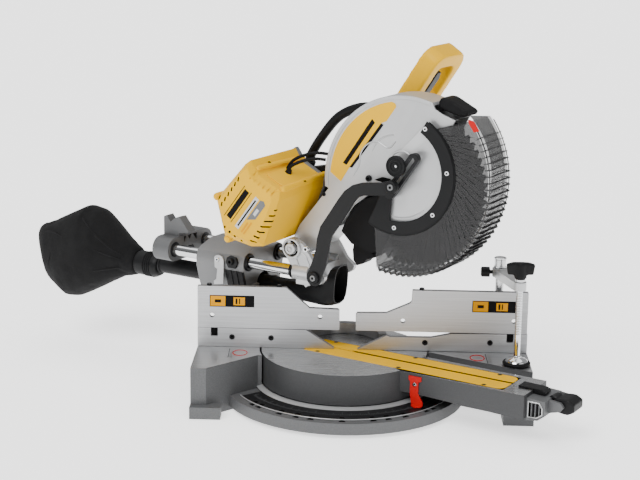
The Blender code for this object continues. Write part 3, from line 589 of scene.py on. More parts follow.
def hose(points, radius, sides=14):
    """A round tube along a path; radius may be one number or one for each point."""
    rings, across = [], None
    for i, point in enumerate(points):
        ahead = (points[min(i + 1, len(points) - 1)] - points[max(i - 1, 0)]).normalized()
        if across is None:
            across = ahead.orthogonal().normalized()
        across = (across - ahead * across.dot(ahead)).normalized()
        other = ahead.cross(across)
        reach = (radius[i] if isinstance(radius, (list, tuple)) else radius) * MM
        turns = [2 * math.pi * k / sides for k in range(sides)]
        rings.append([point + across * (reach * math.cos(a)) + other * (reach * math.sin(a)) for a in turns])
    return solid(rings)


def merged(shapes):
    """Several closed shapes as the parts of one mesh."""
    whole = bmesh.new()
    for bm in shapes:
        mesh = bpy.data.meshes.new("part")
        bm.to_mesh(mesh)
        bm.free()
        whole.from_mesh(mesh)
        bpy.data.meshes.remove(mesh)
    return whole


def soften(piece, width, segments=3, angle=35):
    bevelled(piece, width, segments, angle)
    baked(piece)
    return even_shading(piece)


def carve(piece, shapes, inside="dark_hollow"):
    """Cuts the shapes out of a piece and gives the cut faces the inside finish, by default near-black
    painted shade.
    """
    mesh = bpy.data.meshes.new("cutter")
    whole = merged(shapes)
    whole.to_mesh(mesh)
    whole.free()
    mesh.materials.append(FINISHES[inside] if inside else piece.data.materials[0])
    cutter = linked("cutter", mesh)
    boolean = piece.modifiers.new("cut", "BOOLEAN")
    boolean.object, boolean.operation = cutter, "DIFFERENCE"
    boolean.solver, boolean.material_mode = "EXACT", "TRANSFER"
    boolean.use_self = False
    baked(piece)
    bpy.data.objects.remove(cutter)
    return even_shading(piece, 40)


def plate(name, outline, low, high, body, finish_name, soft=0.3, slot=None, put=saw):
    piece = new_piece(name, prism(outline, low, high, put), body, finish_name, slot)
    return soften(piece, soft, 2) if soft else piece


def screw(name, place, axis, radius, body, finish_name="black_steel", height=None):
    """A socket-head screw: rounded rim, hexagonal recess with a floor of near-black painted shade."""
    tall = height or radius * 0.7
    profile = [(radius * 0.96, -1.0), (radius, 0), (radius, tall * 0.55), (radius * 0.82, tall),
               (radius * 0.50, tall), (radius * 0.46, tall * 0.35)]
    piece = new_piece(name, lathe(profile, place, axis, 24), body, finish_name, smooth=40)
    # The socket floor is near-black painted shade.
    floor = lathe([(radius * 0.42, tall * 0.36), (radius * 0.42, tall * 0.44)], place, axis, 6)
    new_piece(name + "_socket", floor, body, "dark_hollow")
    return piece


# Motor

LABEL_FOOT = (-178, 271)
LABEL_LEAN = math.radians(53)
LABEL_THICK, LABEL_LAYER = 0.25, 0.2
MOTOR_FACE = -150.0


def label_outline(points):
    """Side points of the motor's end face from distances u along the label and v across it."""
    c, s = math.cos(LABEL_LEAN), math.sin(LABEL_LEAN)
    return [(LABEL_FOOT[0] + u * c + v * s, LABEL_FOOT[1] + u * s - v * c) for u, v in points]


def label(name, points, finish_name, layer=0):
    low = MOTOR_FACE - LABEL_THICK - LABEL_LAYER * layer
    return plate(name, label_outline(points), low - LABEL_THICK, low, "head", finish_name, 0)


def oblong(u0, u1, v0, v1):
    return [(u0, v0), (u1, v0), (u1, v1), (u0, v1)]


def slit(centre, wide, tall, lean):
    """A slot's outline with round ends; lean is the turn of its length from upright, in degrees."""
    reach = (tall - wide) / 2
    turn = math.radians(90 - lean)
    tip = (centre[0] + reach * math.cos(turn), centre[1] + reach * math.sin(turn))
    foot = (centre[0] - reach * math.cos(turn), centre[1] - reach * math.sin(turn))
    angle = math.degrees(turn)
    return arc(tip, wide / 2, angle - 90, angle + 90, 6) + arc(foot, wide / 2, angle + 90, angle + 270, 6)


def motor():
    housing = rounded("motor_housing", 6.0, segments=4, angle=12)
    cuts = []
    for i in range(7):
        place = (-146 - 45 * i / 6, 343 - 62 * i / 6)
        cuts.append(prism(slit(place, 3.0, 9.0, 12), -156, -128))
        place = (-68 - 45 * i / 6, 289.5 - 61 * i / 6)
        cuts.append(prism(slit(place, 3.2, 13.0, 103), -156, -130))
    for i in range(5):
        place = (-188 + 45 * i / 4, 256 - 31 * i / 4)
        cuts.append(prism(slit(place, 4.2, 5.6, 30), -156, -126))
    for place in ((-192, 302), (-167, 222)):
        cuts.append(prism(slit(place, 7.5, 7.6, 0), -156, -124))
    # The vents' cut faces get near-black painted shade.
    carve(housing, cuts)
    grooves = []
    for i in range(6):
        share = (i - 0.35) / 5
        t, z = -113 + 46 * share, 352 - 26 * share
        grooves.append(pill(saw(t - 4, z - 7, -151), saw(t + 5, z + 9, -131), 1.7))
    carve(housing, grooves, None)
    for i, (t, z, lean) in enumerate(((-119, 362, 3), (-63.5, 330, -3))):
        rib = pill(saw(t, z, -126), saw(t + lean, z - lean, 24), 6.0)
        new_piece("motor_rib_%d" % (i + 1), rib, "head", "yellow")
    for i, (start, end) in enumerate((((-205, 300), (-196, 268)), ((-180, 222), (-150, 216)))):
        boss = pill(saw(*start, -134), saw(*start, 20), 7.5)
        new_piece("motor_boss_%d" % (i + 1), boss, "head", "yellow")
    for i, (t, z, h) in enumerate(((-119.5, 368.5, -86), (-60.5, 335.5, -56))):
        # Each pocket is a near-black disc painted as the shade in a hole.
        hole = lathe([(3.6, -0.6), (3.6, 0.3)], saw(t, z - 0.6, h), FORWARD * 0.45 + UP, 20)
        new_piece("motor_pocket_%d" % (i + 1), hole, "head", "dark_hollow")
    panel = [(-106, 349.5), (-70, 331.6), (-68.6, 334.4), (-104.6, 352.4)]
    plate("motor_panel", panel, -118, 6, "head", "yellow", 1.2)
    outline = [(-207, 297), (-186, 224), (-126, 213), (-97.5, 217), (-63, 311), (-61, 330), (-110, 355),
               (-128, 381.5), (-142, 371)]
    plate("motor_collar", outline, 17, 29.5, "head", "label_grey", 3)
    labels = (("strip_top", oblong(0, 77, 0, 1.2), "black", 0),
              ("strip_bar", oblong(4, 73, 4.5, 15.5), "black", 0),
              ("strip_foot", oblong(0, 77, 18.8, 20), "black", 0),
              ("plate_silver", oblong(1, 78, 30, 39.5), "silver", 0),
              ("plate_line", oblong(6, 72, 33.2, 36.4), "black", 1),
              ("plate_grey", [(29, 42), (79, 42), (83, 49), (79, 56), (43, 56)], "grey", 0),
              ("plate_spot", oblong(47, 62, 46, 52), "silver", 1),
              ("bar_1", oblong(2, 26, 46, 49.5), "amber", 0),
              ("bar_2", oblong(2, 32, 52, 55.5), "amber", 0))
    for name, outline, tone, layer in labels:
        label("motor_" + name, outline, "label_" + tone, layer)
    gland = lathe([(7, -3), (7, 2), (5.8, 4.5), (5, 9), (3.4, 9.5)], saw(-95, 345, -60),
                  FORWARD * 0.45 + UP, 24)
    new_piece("cable_gland", gland, "head", "black_plastic")


# Upper guard and cap

CAP = (133.5, 384.5)
GUARD_NEAR, CAP_NEAR = -31.0, -55.6


def guard_trim():
    near = GUARD_NEAR
    rim = arc(ARBOR, 168.6, 73, 186, 60) + arc(ARBOR, 161.5, 186, 73, 60)
    plate("guard_rim_band", rim, near - 1.6, near + 0.5, "head", "silver_cast", 0.8)
    crescent = arc(ARBOR, 157.5, 176, 101, 40) + arc((111, 489), 6, 80, -50, 6)
    crescent += [(98, 460), (88, 455.5), (24, 369), (4, 337)]
    plate("guard_crescent", crescent, near - 0.45, near - 0.05, "head", "yellow", 0, "")
    # Painted shadow: a black strip along the crescent label's straight edge, standing in for the shade
    # there.
    shadow_strip = [(22, 366), (28, 366), (92, 452), (87, 455)]
    plate("guard_painted_shadow", shadow_strip, near - 0.8, near - 0.5, "head", "label_black", 0)
    bar = [(8, 373), (16, 370), (74, 455), (68, 461)]
    plate("guard_bar", bar, near - 0.8, near - 0.5, "head", "label_black", 0)
    ridge = [(118, 424), (103, 411), (80, 420), (60, 414), (46, 396), (42, 372), (30, 352)]
    path = smooth_path([saw(t, z, near) for t, z in ridge], 6)
    new_piece("guard_ridge", hose(path, 1.5, 10), "head", "silver_cast")
    arrow = [saw(t, z, near) for t, z in arc((118, 384), 52, 95, 160, 16)]
    new_piece("guard_arc", hose(arrow, 1.3, 10), "head", "silver_cast")
    screw("guard_screw_1", saw(64, 350, near), -RIGHT, 6.2, "head", "black_steel", 5)
    screw("guard_screw_2", saw(-32, 308, near), -RIGHT, 3.6, "head", "black_steel", 3)
    # The slot is a thin plate of near-black painted shade.
    slot = [(76, 349), (92, 356), (112, 354), (116, 345), (98, 345)]
    plate("guard_slot", slot, near - 0.6, near + 0.1, "head", "dark_hollow", 0.2)
    ring = [(23, 0), (26.5, 0), (26.5, 3.5), (25.5, 4.5), (23.5, 4.5), (22.5, 3)]
    new_piece("cap_ring", lathe(ring, saw(*CAP, -33), -RIGHT, 56, True), "head", "silver_cast")


def link_cap():
    """The black cap over the guard's pivot, ground in rings, with a socket at its middle."""
    profile = [(19.6, -2), (19.6, 3), (18.8, 4.2), (16.5, 4.2), (16, 3.2), (13, 3.2), (12.5, 4.2),
               (9.5, 4.2),
               (9, 3.0), (6.2, 3.0), (5.8, 4.4), (3.2, 4.4), (2.8, 1.5)]
    new_piece("cap", lathe(profile, saw(*CAP, CAP_NEAR), -RIGHT, 48), "guard", "black_plastic")
    socket = lathe([(2.7, 1.6), (2.7, 1.9)], saw(*CAP, CAP_NEAR), -RIGHT, 6)
    new_piece("cap_socket", socket, "guard", "steel")
    depths = [side_point(vertex.co)[2] for vertex in NODES["guard_cam"].data.vertices]
    outline = capsule((121, 333), (167.5, 401), 10.5)
    cam = new_piece("guard_cam_body", prism(outline, min(depths), max(depths)), "guard", "black_steel")
    carve(cam, [prism(capsule((134, 353), (165.5, 399), 4.4), -90, -20)], None)
    soften(cam, 0.7, 2)
    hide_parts("guard_cam")


# Lower guard

GUARD_RIM = (128.8, 363.8)
RING_CENTRE = (128.5, 370)
CLEAR_RADIUS = 180.5
FINS, STREAKS = 36, 30


def lower_guard():
    body = rounded("lower_guard", 2.5, segments=3, angle=30)
    body.data.materials.append(FINISHES["clear"])
    for face in body.data.polygons:
        t, z, h = side_point(face.center)
        radius = math.hypot(t - GUARD_RIM[0], z - GUARD_RIM[1])
        if radius > CLEAR_RADIUS:
            face.material_index = 1
    fins = []
    profile = [(176, -41.2), (183, -41.2), (189.6, -35.5), (190.6, -30), (189.4, 0), (190.6, 30),
               (189.6, 35.5),
               (183, 41.2), (176, 41.2), (184.6, 35), (184.6, -35)]
    for i in range(FINS):
        turn = math.radians(-101 + 129 * i / (FINS - 1))
        rings = []
        for side_step in (-1.1, 1.1):
            ring = []
            for radius, h in profile:
                slip = side_step * (0.5 if radius > 187 else 1.0)
                t = GUARD_RIM[0] + radius * math.cos(turn) - slip * math.sin(turn)
                z = GUARD_RIM[1] + radius * math.sin(turn) + slip * math.cos(turn)
                ring.append(saw(t, z, h))
            rings.append(ring)
        fins.append(solid(rings))
    new_piece("guard_fins", merged(fins), "guard", "smoke_dark", "smoke")
    streaks = []
    for i in range(STREAKS):
        turn = math.radians(-104 + 134 * i / (STREAKS - 1))
        lean = math.radians(14)
        start = (GUARD_RIM[0] + 120 * math.cos(turn + lean), GUARD_RIM[1] + 120 * math.sin(turn + lean))
        end = (GUARD_RIM[0] + 172 * math.cos(turn), GUARD_RIM[1] + 172 * math.sin(turn))
        streaks.append(pill(saw(*start, -40.2), saw(*end, -40.2), 0.45, 8))
    new_piece("guard_streaks", merged(streaks), "guard", "smoke_dark", "smoke")
    lips = []
    for h in (-39.5, 39.5):
        lip = [saw(t, z, h) for t, z in arc(GUARD_RIM, 184.2, -101, 36, 60)]
        lips.append(hose(lip, 1.1, 8))
    new_piece("guard_lips", merged(lips), "guard", "smoke_dark", "smoke")
    red = arc(GUARD_RIM, 188, 31.5, 37.5, 6) + arc((GUARD_RIM[0] + 141, GUARD_RIM[1] + 113), 4, 60, 150, 4)
    red += arc(GUARD_RIM, 177.5, 37.5, 32.5, 6)
    plate("guard_red", red, -42.2, -39.5, "guard", "red", 0.9)
    for i, angle in enumerate((57, 6, -42, -91)):
        place = saw(RING_CENTRE[0] + 102.5 * math.cos(math.radians(angle)),
                    RING_CENTRE[1] + 102.5 * math.sin(math.radians(angle)), -43.5)
        screw("ring_screw_%d" % (i + 1), place, -RIGHT, 4.6, "guard", "chrome", 2.2)
    lip = arc(RING_CENTRE, 116, -118, 58, 60)
    new_piece("ring_lip", hose([saw(t, z, -41) for t, z in lip], 1.3, 10), "guard", "black_plastic")
    edge = [saw(t, z, -36) for t, z in arc(RING_CENTRE, 84, -100, -50, 14)]
    new_piece("plate_arc", hose(edge, 1.2, 8), "guard", "silver_cast")


# Base, fences and table

RING_TOP = -66.0
FENCE_TOP = 121.3
FENCE_SCREWS = ((-217.3, 19.9), (-141.8, 19.7), (155.3, 17.0), (280.3, 19.6))
DETENTS = (-50, -45, -31.6, -22.5, -15, 0, 15, 22.5, 31.6, 45, 50)


def polar(radius, degrees, z):
    turn = math.radians(degrees)
    return base(radius * math.cos(turn), radius * math.sin(turn), z)


def sector(inner, outer, middle_angle, half, low, high, widen=0.0):
    """A small plate between two radii round the mitre pivot."""
    rings = []
    for z in (low, high):
        rings.append([polar(inner, middle_angle - half, z), polar(outer, middle_angle - half - widen, z),
                      polar(outer, middle_angle + half + widen, z), polar(inner, middle_angle + half, z)])
    return solid(rings)


def base_details():
    groove = [(160.3, 1.0), (160.3, 6.4), (161.2, 7.0), (163.6, 7.0), (172.5, 3.8), (172.5, 3.1),
              (163, 3.1)]
    new_piece("ring_groove", lathe(groove, base(0, 0, RING_TOP), UP, 120, True), "base", "silver_cast",
              "machined")
    # The detent notches are thin sectors of near-black painted shade.
    marks = [sector(207.5, 214.2, 270 + detent, 0.95, RING_TOP + 3.05, RING_TOP + 3.3, 0.5)
             for detent in DETENTS]
    marks += [sector(215.4, 223, 270 + detent, 0.9, RING_TOP + 0.1, RING_TOP + 0.5, 0.8)
              for detent in DETENTS]
    new_piece("detent_marks", merged(marks), "base", "dark_hollow")
    ticks = []
    for degree in range(-60, 61):
        reach = 191 if degree % 5 else (186 if degree % 15 else 181)
        ticks.append(sector(reach, 196, 270 + degree, 0.09, RING_TOP + 3.05, RING_TOP + 3.2))
    new_piece("scale_ticks", merged(ticks), "base", "label_grey")
    rim = [polar(214.9, 206 + i * 142 / 90, RING_TOP + 1.4) for i in range(91)]
    new_piece("plate_rim", hose(rim, 1.1, 8), "base", "silver_cast", "machined")
    for i, (x, y, x0, z0) in enumerate(((-199, -36, -220.5, 0), (254, -35, 271, 0))):
        ring = []
        for turned_by in range(41):
            angle = 2 * math.pi * turned_by / 40
            ring.append(base(x + 13.5 * math.cos(angle), y + 17 * math.sin(angle), 0.1))
        new_piece("wing_ring_%d" % (i + 1), hose(ring, 0.9, 8), "base", "red")
        line = prism([(x0 - 0.5, -10), (x0 + 0.5, -10), (x0 + 1.4, -66), (x0 + 0.4, -66)], 0.02, 0.25,
                     base)
        new_piece("wing_line_%d" % (i + 1), line, "base", "dark_hollow")


def fence_details():
    for i, (x, z) in enumerate(FENCE_SCREWS):
        head = [(4.9, -3.0), (4.9, -1.2), (4.2, -0.6), (2.4, -0.6), (2.2, -2.4)]
        new_piece("fence_screw_%d" % (i + 1), lathe(head, base(x, 0, z), -BACK, 24), "base", "black_steel")
        # The socket floor is near-black painted shade.
        socket = lathe([(2.1, -2.5), (2.1, -2.2)], base(x, 0, z), -BACK, 6)
        new_piece("fence_socket_%d" % (i + 1), socket, "base", "dark_hollow")
    for i, x in enumerate((-258, 312)):
        stop = [(x + 0.4, 22.2), (x + 12.6, 22.2), (x + 12.6, 37.8), (x + 0.4, 37.8)]
        plate("fence_stop_%d" % (i + 1), stop, 3.2, 9.2, "base", "black_plastic", 0.8, put=front)
        # A near-black wedge painted as the shade behind the stop.
        wedge = [(x + 2.4, 22.6), (x + 10.6, 22.6), (x + 11.8, 37.4), (x + 1.2, 37.4)]
        plate("fence_wedge_%d" % (i + 1), wedge, 0.4, 3.6, "base", "dark_hollow", 0.4, put=front)
    panels = (("left", "fence_left", -260.5, 80.5), ("right", "fence_right", 243.5, 80.5))
    for name, body, x, z in panels:
        plate("fence_%s_label" % name, [(x, z), (x + 86, z), (x + 86, z + 23), (x, z + 23)], -0.32, -0.08,
              body,
              "label_black", 0, put=front)
        for j, (a, b, low, high) in enumerate(((1.6, 30.5, 1.6, 21.4), (46, 68, 3.6, 19.4))):
            square = [(x + a, z + low), (x + b, z + low), (x + b, z + high), (x + a, z + high)]
            plate("fence_%s_amber_%d" % (name, j + 1), square, -0.5, -0.3, body, "label_amber", 0,
                  put=front)
        for j, (a, b, low, high) in enumerate(((10, 22, 8.5, 14.5), (50, 53.5, 6, 17),
                                               (56.5, 58.5, 6, 17))):
            bar = [(x + a, z + low), (x + b, z + low), (x + b, z + high), (x + a, z + high)]
            plate("fence_%s_bar_%d" % (name, j + 1), bar, -0.68, -0.48, body, "label_black", 0, put=front)
    for i, (x, body) in enumerate(((-261.6, "fence_left"), (-127.2, "fence_left"), (146.5, "fence_right"))):
        cap = lathe([(5.0, 0.2), (5.0, 2.4), (4.2, 4.2), (2.4, 4.2), (2.2, 3.0)], base(x, 5, FENCE_TOP), UP,
                    20)
        new_piece("fence_cap_%d" % (i + 1), cap, body, "black_steel")


def table_details():
    for name, low, high, side_h in (("left", -43.3, -2.6, -43.3), ("right", 2.6, 35.8, 35.8)):
        inner = high if side_h == low else low
        turn = -1 if side_h == low else 1
        corner = side_h - 17 * turn
        outline = [(-65.3, side_h), (-65.3, inner), (356.7, inner)]
        outline += arc((339.7, corner), 17, 0, 90 * turn, 8)
        piece = new_piece("kerf_" + name, prism(outline, -3.6, 0.02, deck), "table", "kerf_yellow",
                          "yellow")
        soften(piece, 0.6, 2)
        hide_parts("kerf_plate_" + name)
        # Near-black liners on the slot's walls, painted as the shade in the slot.
        wall_h = 5.5 * turn
        wall = prism([(-59, -25.4), (349, -25.4), (349, -4.3), (-59, -4.3)], wall_h - 0.4, wall_h + 0.4)
        new_piece("slot_shade_liner_" + name, wall, "table", "dark_hollow")
    for i, (t, h) in enumerate(((-37, -38), (140, -37.5), (316, -36.5), (-37, 31), (139, 31), (316, 31))):
        sink = lathe([(4.4, -0.4), (4.4, 0.12), (3.9, 0.24), (2.0, 0.24), (1.9, 0.1)], deck(t, h, 0), UP,
                     24)
        new_piece("kerf_screw_%d" % (i + 1), sink, "table", "black_steel")
    for i, (centre_h, turn) in enumerate(((-43.6 + 17, -1), (36.1 - 17, 1))):
        fillet = [(356.9, centre_h + 17.2 * turn)] + arc((339.7, centre_h), 17.3, 90 * turn, 0, 8)
        new_piece("arm_fillet_%d" % (i + 1), prism(fillet, -3.9, -0.1, deck), "table", "table_top",
                  "cast_grey")
    strap = [(171, -5), (197, -5), (197, -13), (191, -16), (191, -38), (201, -53), (201, -61), (178, -61),
             (174, -40), (174, -16), (171, -13)]
    piece = plate("pointer_strap", strap, -54.4, -51.4, "table", "red", 0.7)
    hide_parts("mitre_pointer")
    foot = [(178, -52), (200, -52), (200, -58), (190, -66), (180, -59)]
    plate("pointer_foot", foot, -62.2, -59.6, "table", "red", 0.5, put=deck)
    screw("pointer_screw", saw(184, -20, -54.6), -RIGHT, 4.2, "table", "chrome", 2.0)
    seam = prism([(120, -37), (120.8, -37), (120.8, -3), (120, -3)], -51.35, -51.1)
    new_piece("table_seam", seam, "table", "dark_hollow")
    end = rounded("arm_end_housing", 2.0, None, 3)
    pocket = [(406, -13), (427, -13), (433, -22), (433, -34), (423, -41), (406, -42)]
    # The pocket's cut faces get near-black painted shade.
    carve(end, [prism(pocket, -44, -27), prism([(409, -14), (421, -14), (421, -20), (409, -20)], -30, 20)])
    for i in range(3):
        t = 411 + 7.5 * i
        rib = prism([(t, -41.5), (t + 1.8, -41.5), (t + 1.8, -13.5), (t, -13.5)], -39.4, -28)
        new_piece("arm_end_rib_%d" % (i + 1), rib, "table", "cast_grey")
    frame_path = [saw(t, z, -40.2) for t, z in pocket + pocket[:1]]
    new_piece("arm_end_frame", hose(frame_path, 1.3, 8), "table", "silver_cast", "cast_grey")
    wheel = lathe([(9, -12), (11.5, -10), (11.5, 10), (9, 12)], saw(441, -16, 2), RIGHT, 24)
    new_piece("lock_wheel", wheel, "table", "black_plastic")


# Work clamp

def clamp_details():
    centre = middle("clamp_screw")
    pad = Vector((centre.x, centre.y, PIVOT.z))
    ring = lathe([(24, 0.4), (26.2, 1.6), (26.4, 5.2), (24.6, 7.2), (20.5, 8.2), (19.5, 7.6)], pad, UP, 40)
    new_piece("clamp_pad_ring", ring, "clamp_pad", "rubber")
    dome = lathe([(22, 5.5), (20.6, 9.6), (16.5, 12.6), (10.5, 14.6), (8.4, 16.4), (8.4, 17.8),
                  (7.2, 18.6)], pad,
                 UP, 40)
    new_piece("clamp_pad_dome", dome, "clamp_pad", "chrome")
    threads = []
    for i in range(26):
        threads.append(lathe([(5.9, 0), (6.25, 1.1), (6.25, 1.5), (5.9, 2.6)],
                             pad + UP * (0.060 + 0.0032 * i), UP, 20))
    new_piece("clamp_thread", merged(threads), "clamp_spindle", "steel", "chrome")
    collar = lathe([(6.4, 0), (8.8, 0), (9.6, 1), (9.6, 5), (8.6, 6), (6.4, 6)], pad + UP * 0.1625, UP, 28,
                   True)
    new_piece("clamp_collar", collar, "clamp", "steel", "chrome")
    post = middle("clamp_post")
    for i, high in enumerate((0.1635, 0.1800)):
        band = lathe([(10.2, 0), (12.2, 1.2), (12.2, 2.2), (10.2, 3.4)],
                     Vector((post.x, post.y, PIVOT.z + high)), UP,
                     36, True)
        new_piece("clamp_band_%d" % (i + 1), band, "clamp", "chrome")
    boss = lathe([(13.6, 145.2), (14.8, 146.4), (14.8, 161.4), (13.4, 162.8), (8.6, 162.8)],
                 Vector((post.x, post.y, PIVOT.z)), UP, 36)
    new_piece("clamp_boss", boss, "clamp", "silver_cast")


# Bevel arm and carriage

HOUSING_NEAR, BRACKET_NEAR, LINK_NEAR = -71.6, -60.3, -75


def slide_details():
    near = HOUSING_NEAR
    latch = [(-253.7, 163.3), (-250, 167), (-243.7, 168.5), (-236, 166), (-231.4, 160), (-231.4, 112),
             (-253.8, 108),
             (-254.9, 115), (-248.8, 119.5), (-246.5, 140), (-252.6, 143)]
    plate("slide_latch", latch, near - 4.4, near - 1.4, "bevel_arm", "silver_cast", 0.9)
    screw("slide_latch_screw", saw(-245.5, 159.5, near - 4.3), -RIGHT, 4.6, "bevel_arm", "chrome", 2.4)
    tab = [(-225, 166), (-217, 171), (-203, 168), (-199, 158), (-204, 146), (-222, 146), (-227, 156)]
    plate("slide_tab", tab, near - 3.6, near + 2, "bevel_arm", "black_steel", 1.4)
    screw("slide_bolt", saw(-213.8, 159.5, near - 3.4), -RIGHT, 6.6, "bevel_arm", "black_steel", 6)
    web = [(140.5, -72.2), (104, -61.2), (68.5, -46.6), (68.5, -45), (104, -58), (140.5, -69)]
    sheet = solid([[saw(t, z, h) for z, h in web] for t in (-230.5, -187.6)])
    new_piece("slide_web", sheet, "bevel_arm", "black_plastic")
    for i, t in enumerate((-219, -206, -193)):
        rib = solid([[saw(t + step, z, h - 1.4) for z, h in web] for step in (0, 3.4)])
        new_piece("slide_rib_%d" % (i + 1), rib, "bevel_arm", "black_plastic", "cast_grey")
    for node in ("rail_near", "rail_far"):
        centre = side_point(middle(node))
        for j, (t, out) in enumerate(((-187.9, 1), (-300.1, -1))):
            tall = 4.2 if j == 0 else 0.8
            seal = lathe([(11.7, 0), (17.5, 0), (17.5, tall * 0.5), (15.5, tall), (12.4, tall),
                          (11.7, tall * 0.7)],
                         saw(t, centre[1], centre[2]), FORWARD * out, 36, True)
            new_piece("%s_seal_%d" % (node, j + 1), seal, "bevel_arm", "black_plastic")


def carriage_details():
    near = BRACKET_NEAR
    pin = side_point(middle("head_pivot_pin"))[:2]
    profile = [(15.6, -1), (15.6, 3.2), (16.4, 4.2), (18.8, 4.2), (19.8, 3.2), (19.8, -1)]
    new_piece("pivot_ring", lathe(profile, saw(*pin, near), -RIGHT, 48, True), "carriage", "silver_cast")
    cap = [(10.6, -1), (10.6, 4.2), (9.6, 5.2), (6.2, 5.2), (5.8, 4.0), (3.4, 4.0), (3.0, 5.6)]
    new_piece("pivot_cap", lathe(cap, saw(*pin, near - 3.2), -RIGHT, 36), "carriage", "silver_cast")
    # The slots are near-black tubes of painted shade.
    for j, start in enumerate((20, 140, 260)):
        path = [saw(a, b, near - 0.4) for a, b in arc(pin, 13.2, start, start + 80, 10)]
        new_piece("pivot_slot_%d" % (j + 1), hose(path, 1.8, 8), "carriage", "dark_hollow")
    screw("bracket_bolt_1", saw(-51.8, 205, near), -RIGHT, 6.2, "carriage", "chrome", 4)
    screw("bracket_bolt_2", saw(-66.3, 154.6, near - 1), -RIGHT, 6.2, "carriage", "black_steel", 5)
    web = [(-74, 184), (-62, 196), (-52, 190), (-44, 172), (-52, 160), (-66, 166)]
    recess = [saw(a, b, near) for a, b in web + web[:1]]
    new_piece("bracket_web", hose(recess, 1.4, 8), "carriage", "silver_cast")
    for node in ("rail_near", "rail_far"):
        centre = side_point(middle(node))
        for j, t in enumerate((-84.5, -365.5)):
            out = -1 if j == 0 else 1
            tall = 3.8 if j == 0 else 0.8
            band = lathe([(11.2, 0), (15.2, 0), (15.2, tall * 0.6), (14.2, tall), (11.2, tall)],
                         saw(t, centre[1], centre[2]), FORWARD * out, 36, True)
            new_piece("%s_band_%d" % (node, j + 1), band, "carriage", "black_plastic")
    duct_z = side_point(middle("dust_duct"))[1]
    for i, (t, reach) in enumerate(((-322, 18.6), (-436, 18.8))):
        band = lathe([(16.8, -3), (reach, -2), (reach, 2), (16.8, 3)], saw(t, duct_z, 0), FORWARD, 40, True)
        new_piece("duct_band_%d" % (i + 1), band, "carriage", "black_plastic")
    for i, t in enumerate((-456, -461, -466, -471)):
        band = lathe([(24.4, -1.4), (26.2, -0.9), (26.2, 0.9), (24.4, 1.4)], saw(t, 101, 0), FORWARD, 40,
                     True)
        new_piece("collar_band_%d" % (i + 1), band, "carriage", "rubber")


def link_details():
    ends = (("foot", (-27, 155)), ("head", (134, 349)))
    for name, (t, z) in ends:
        ring = [(6.4, -1), (6.4, 2.2), (7.4, 3.2), (10.6, 3.2), (11.8, 2.0), (11.8, -1)]
        new_piece("link_%s_ring" % name, lathe(ring, saw(t, z, LINK_NEAR), -RIGHT, 40, True), "link",
                  "black_plastic",
                  "black_steel")
        bolt = [(5.8, -1), (5.8, 2.6), (5.0, 3.4), (3.0, 3.4), (2.8, 2.0)]
        new_piece("link_%s_bolt" % name, lathe(bolt, saw(t, z, LINK_NEAR), -RIGHT, 32), "link",
                  "housing_grey", "steel")
        # The socket floor is near-black painted shade.
        socket = lathe([(2.7, 2.0), (2.7, 2.3)], saw(t, z, LINK_NEAR), -RIGHT, 6)
        new_piece("link_%s_socket" % name, socket, "link", "dark_hollow")


# Handles and dust bag

BAG_GRID, BAG_REACH, BAG_NECK = 0.0055, 0.008, 14
CLOTH_FRAMES = 18


def handle_details():
    for i, (t, z) in enumerate(((-118, 347), (36, 468))):
        ring = lathe([(9.6, -4), (12.4, -3), (12.8, 2.5), (11.4, 4), (9.6, 4)], saw(t, z, 53.5),
                     (saw(-113, 364, 53.5) - saw(-119, 343.5, 53.5)) if i == 0 else FORWARD, 32,
                     True)
        new_piece("carry_ring_%d" % (i + 1), ring, "head", "black_plastic")


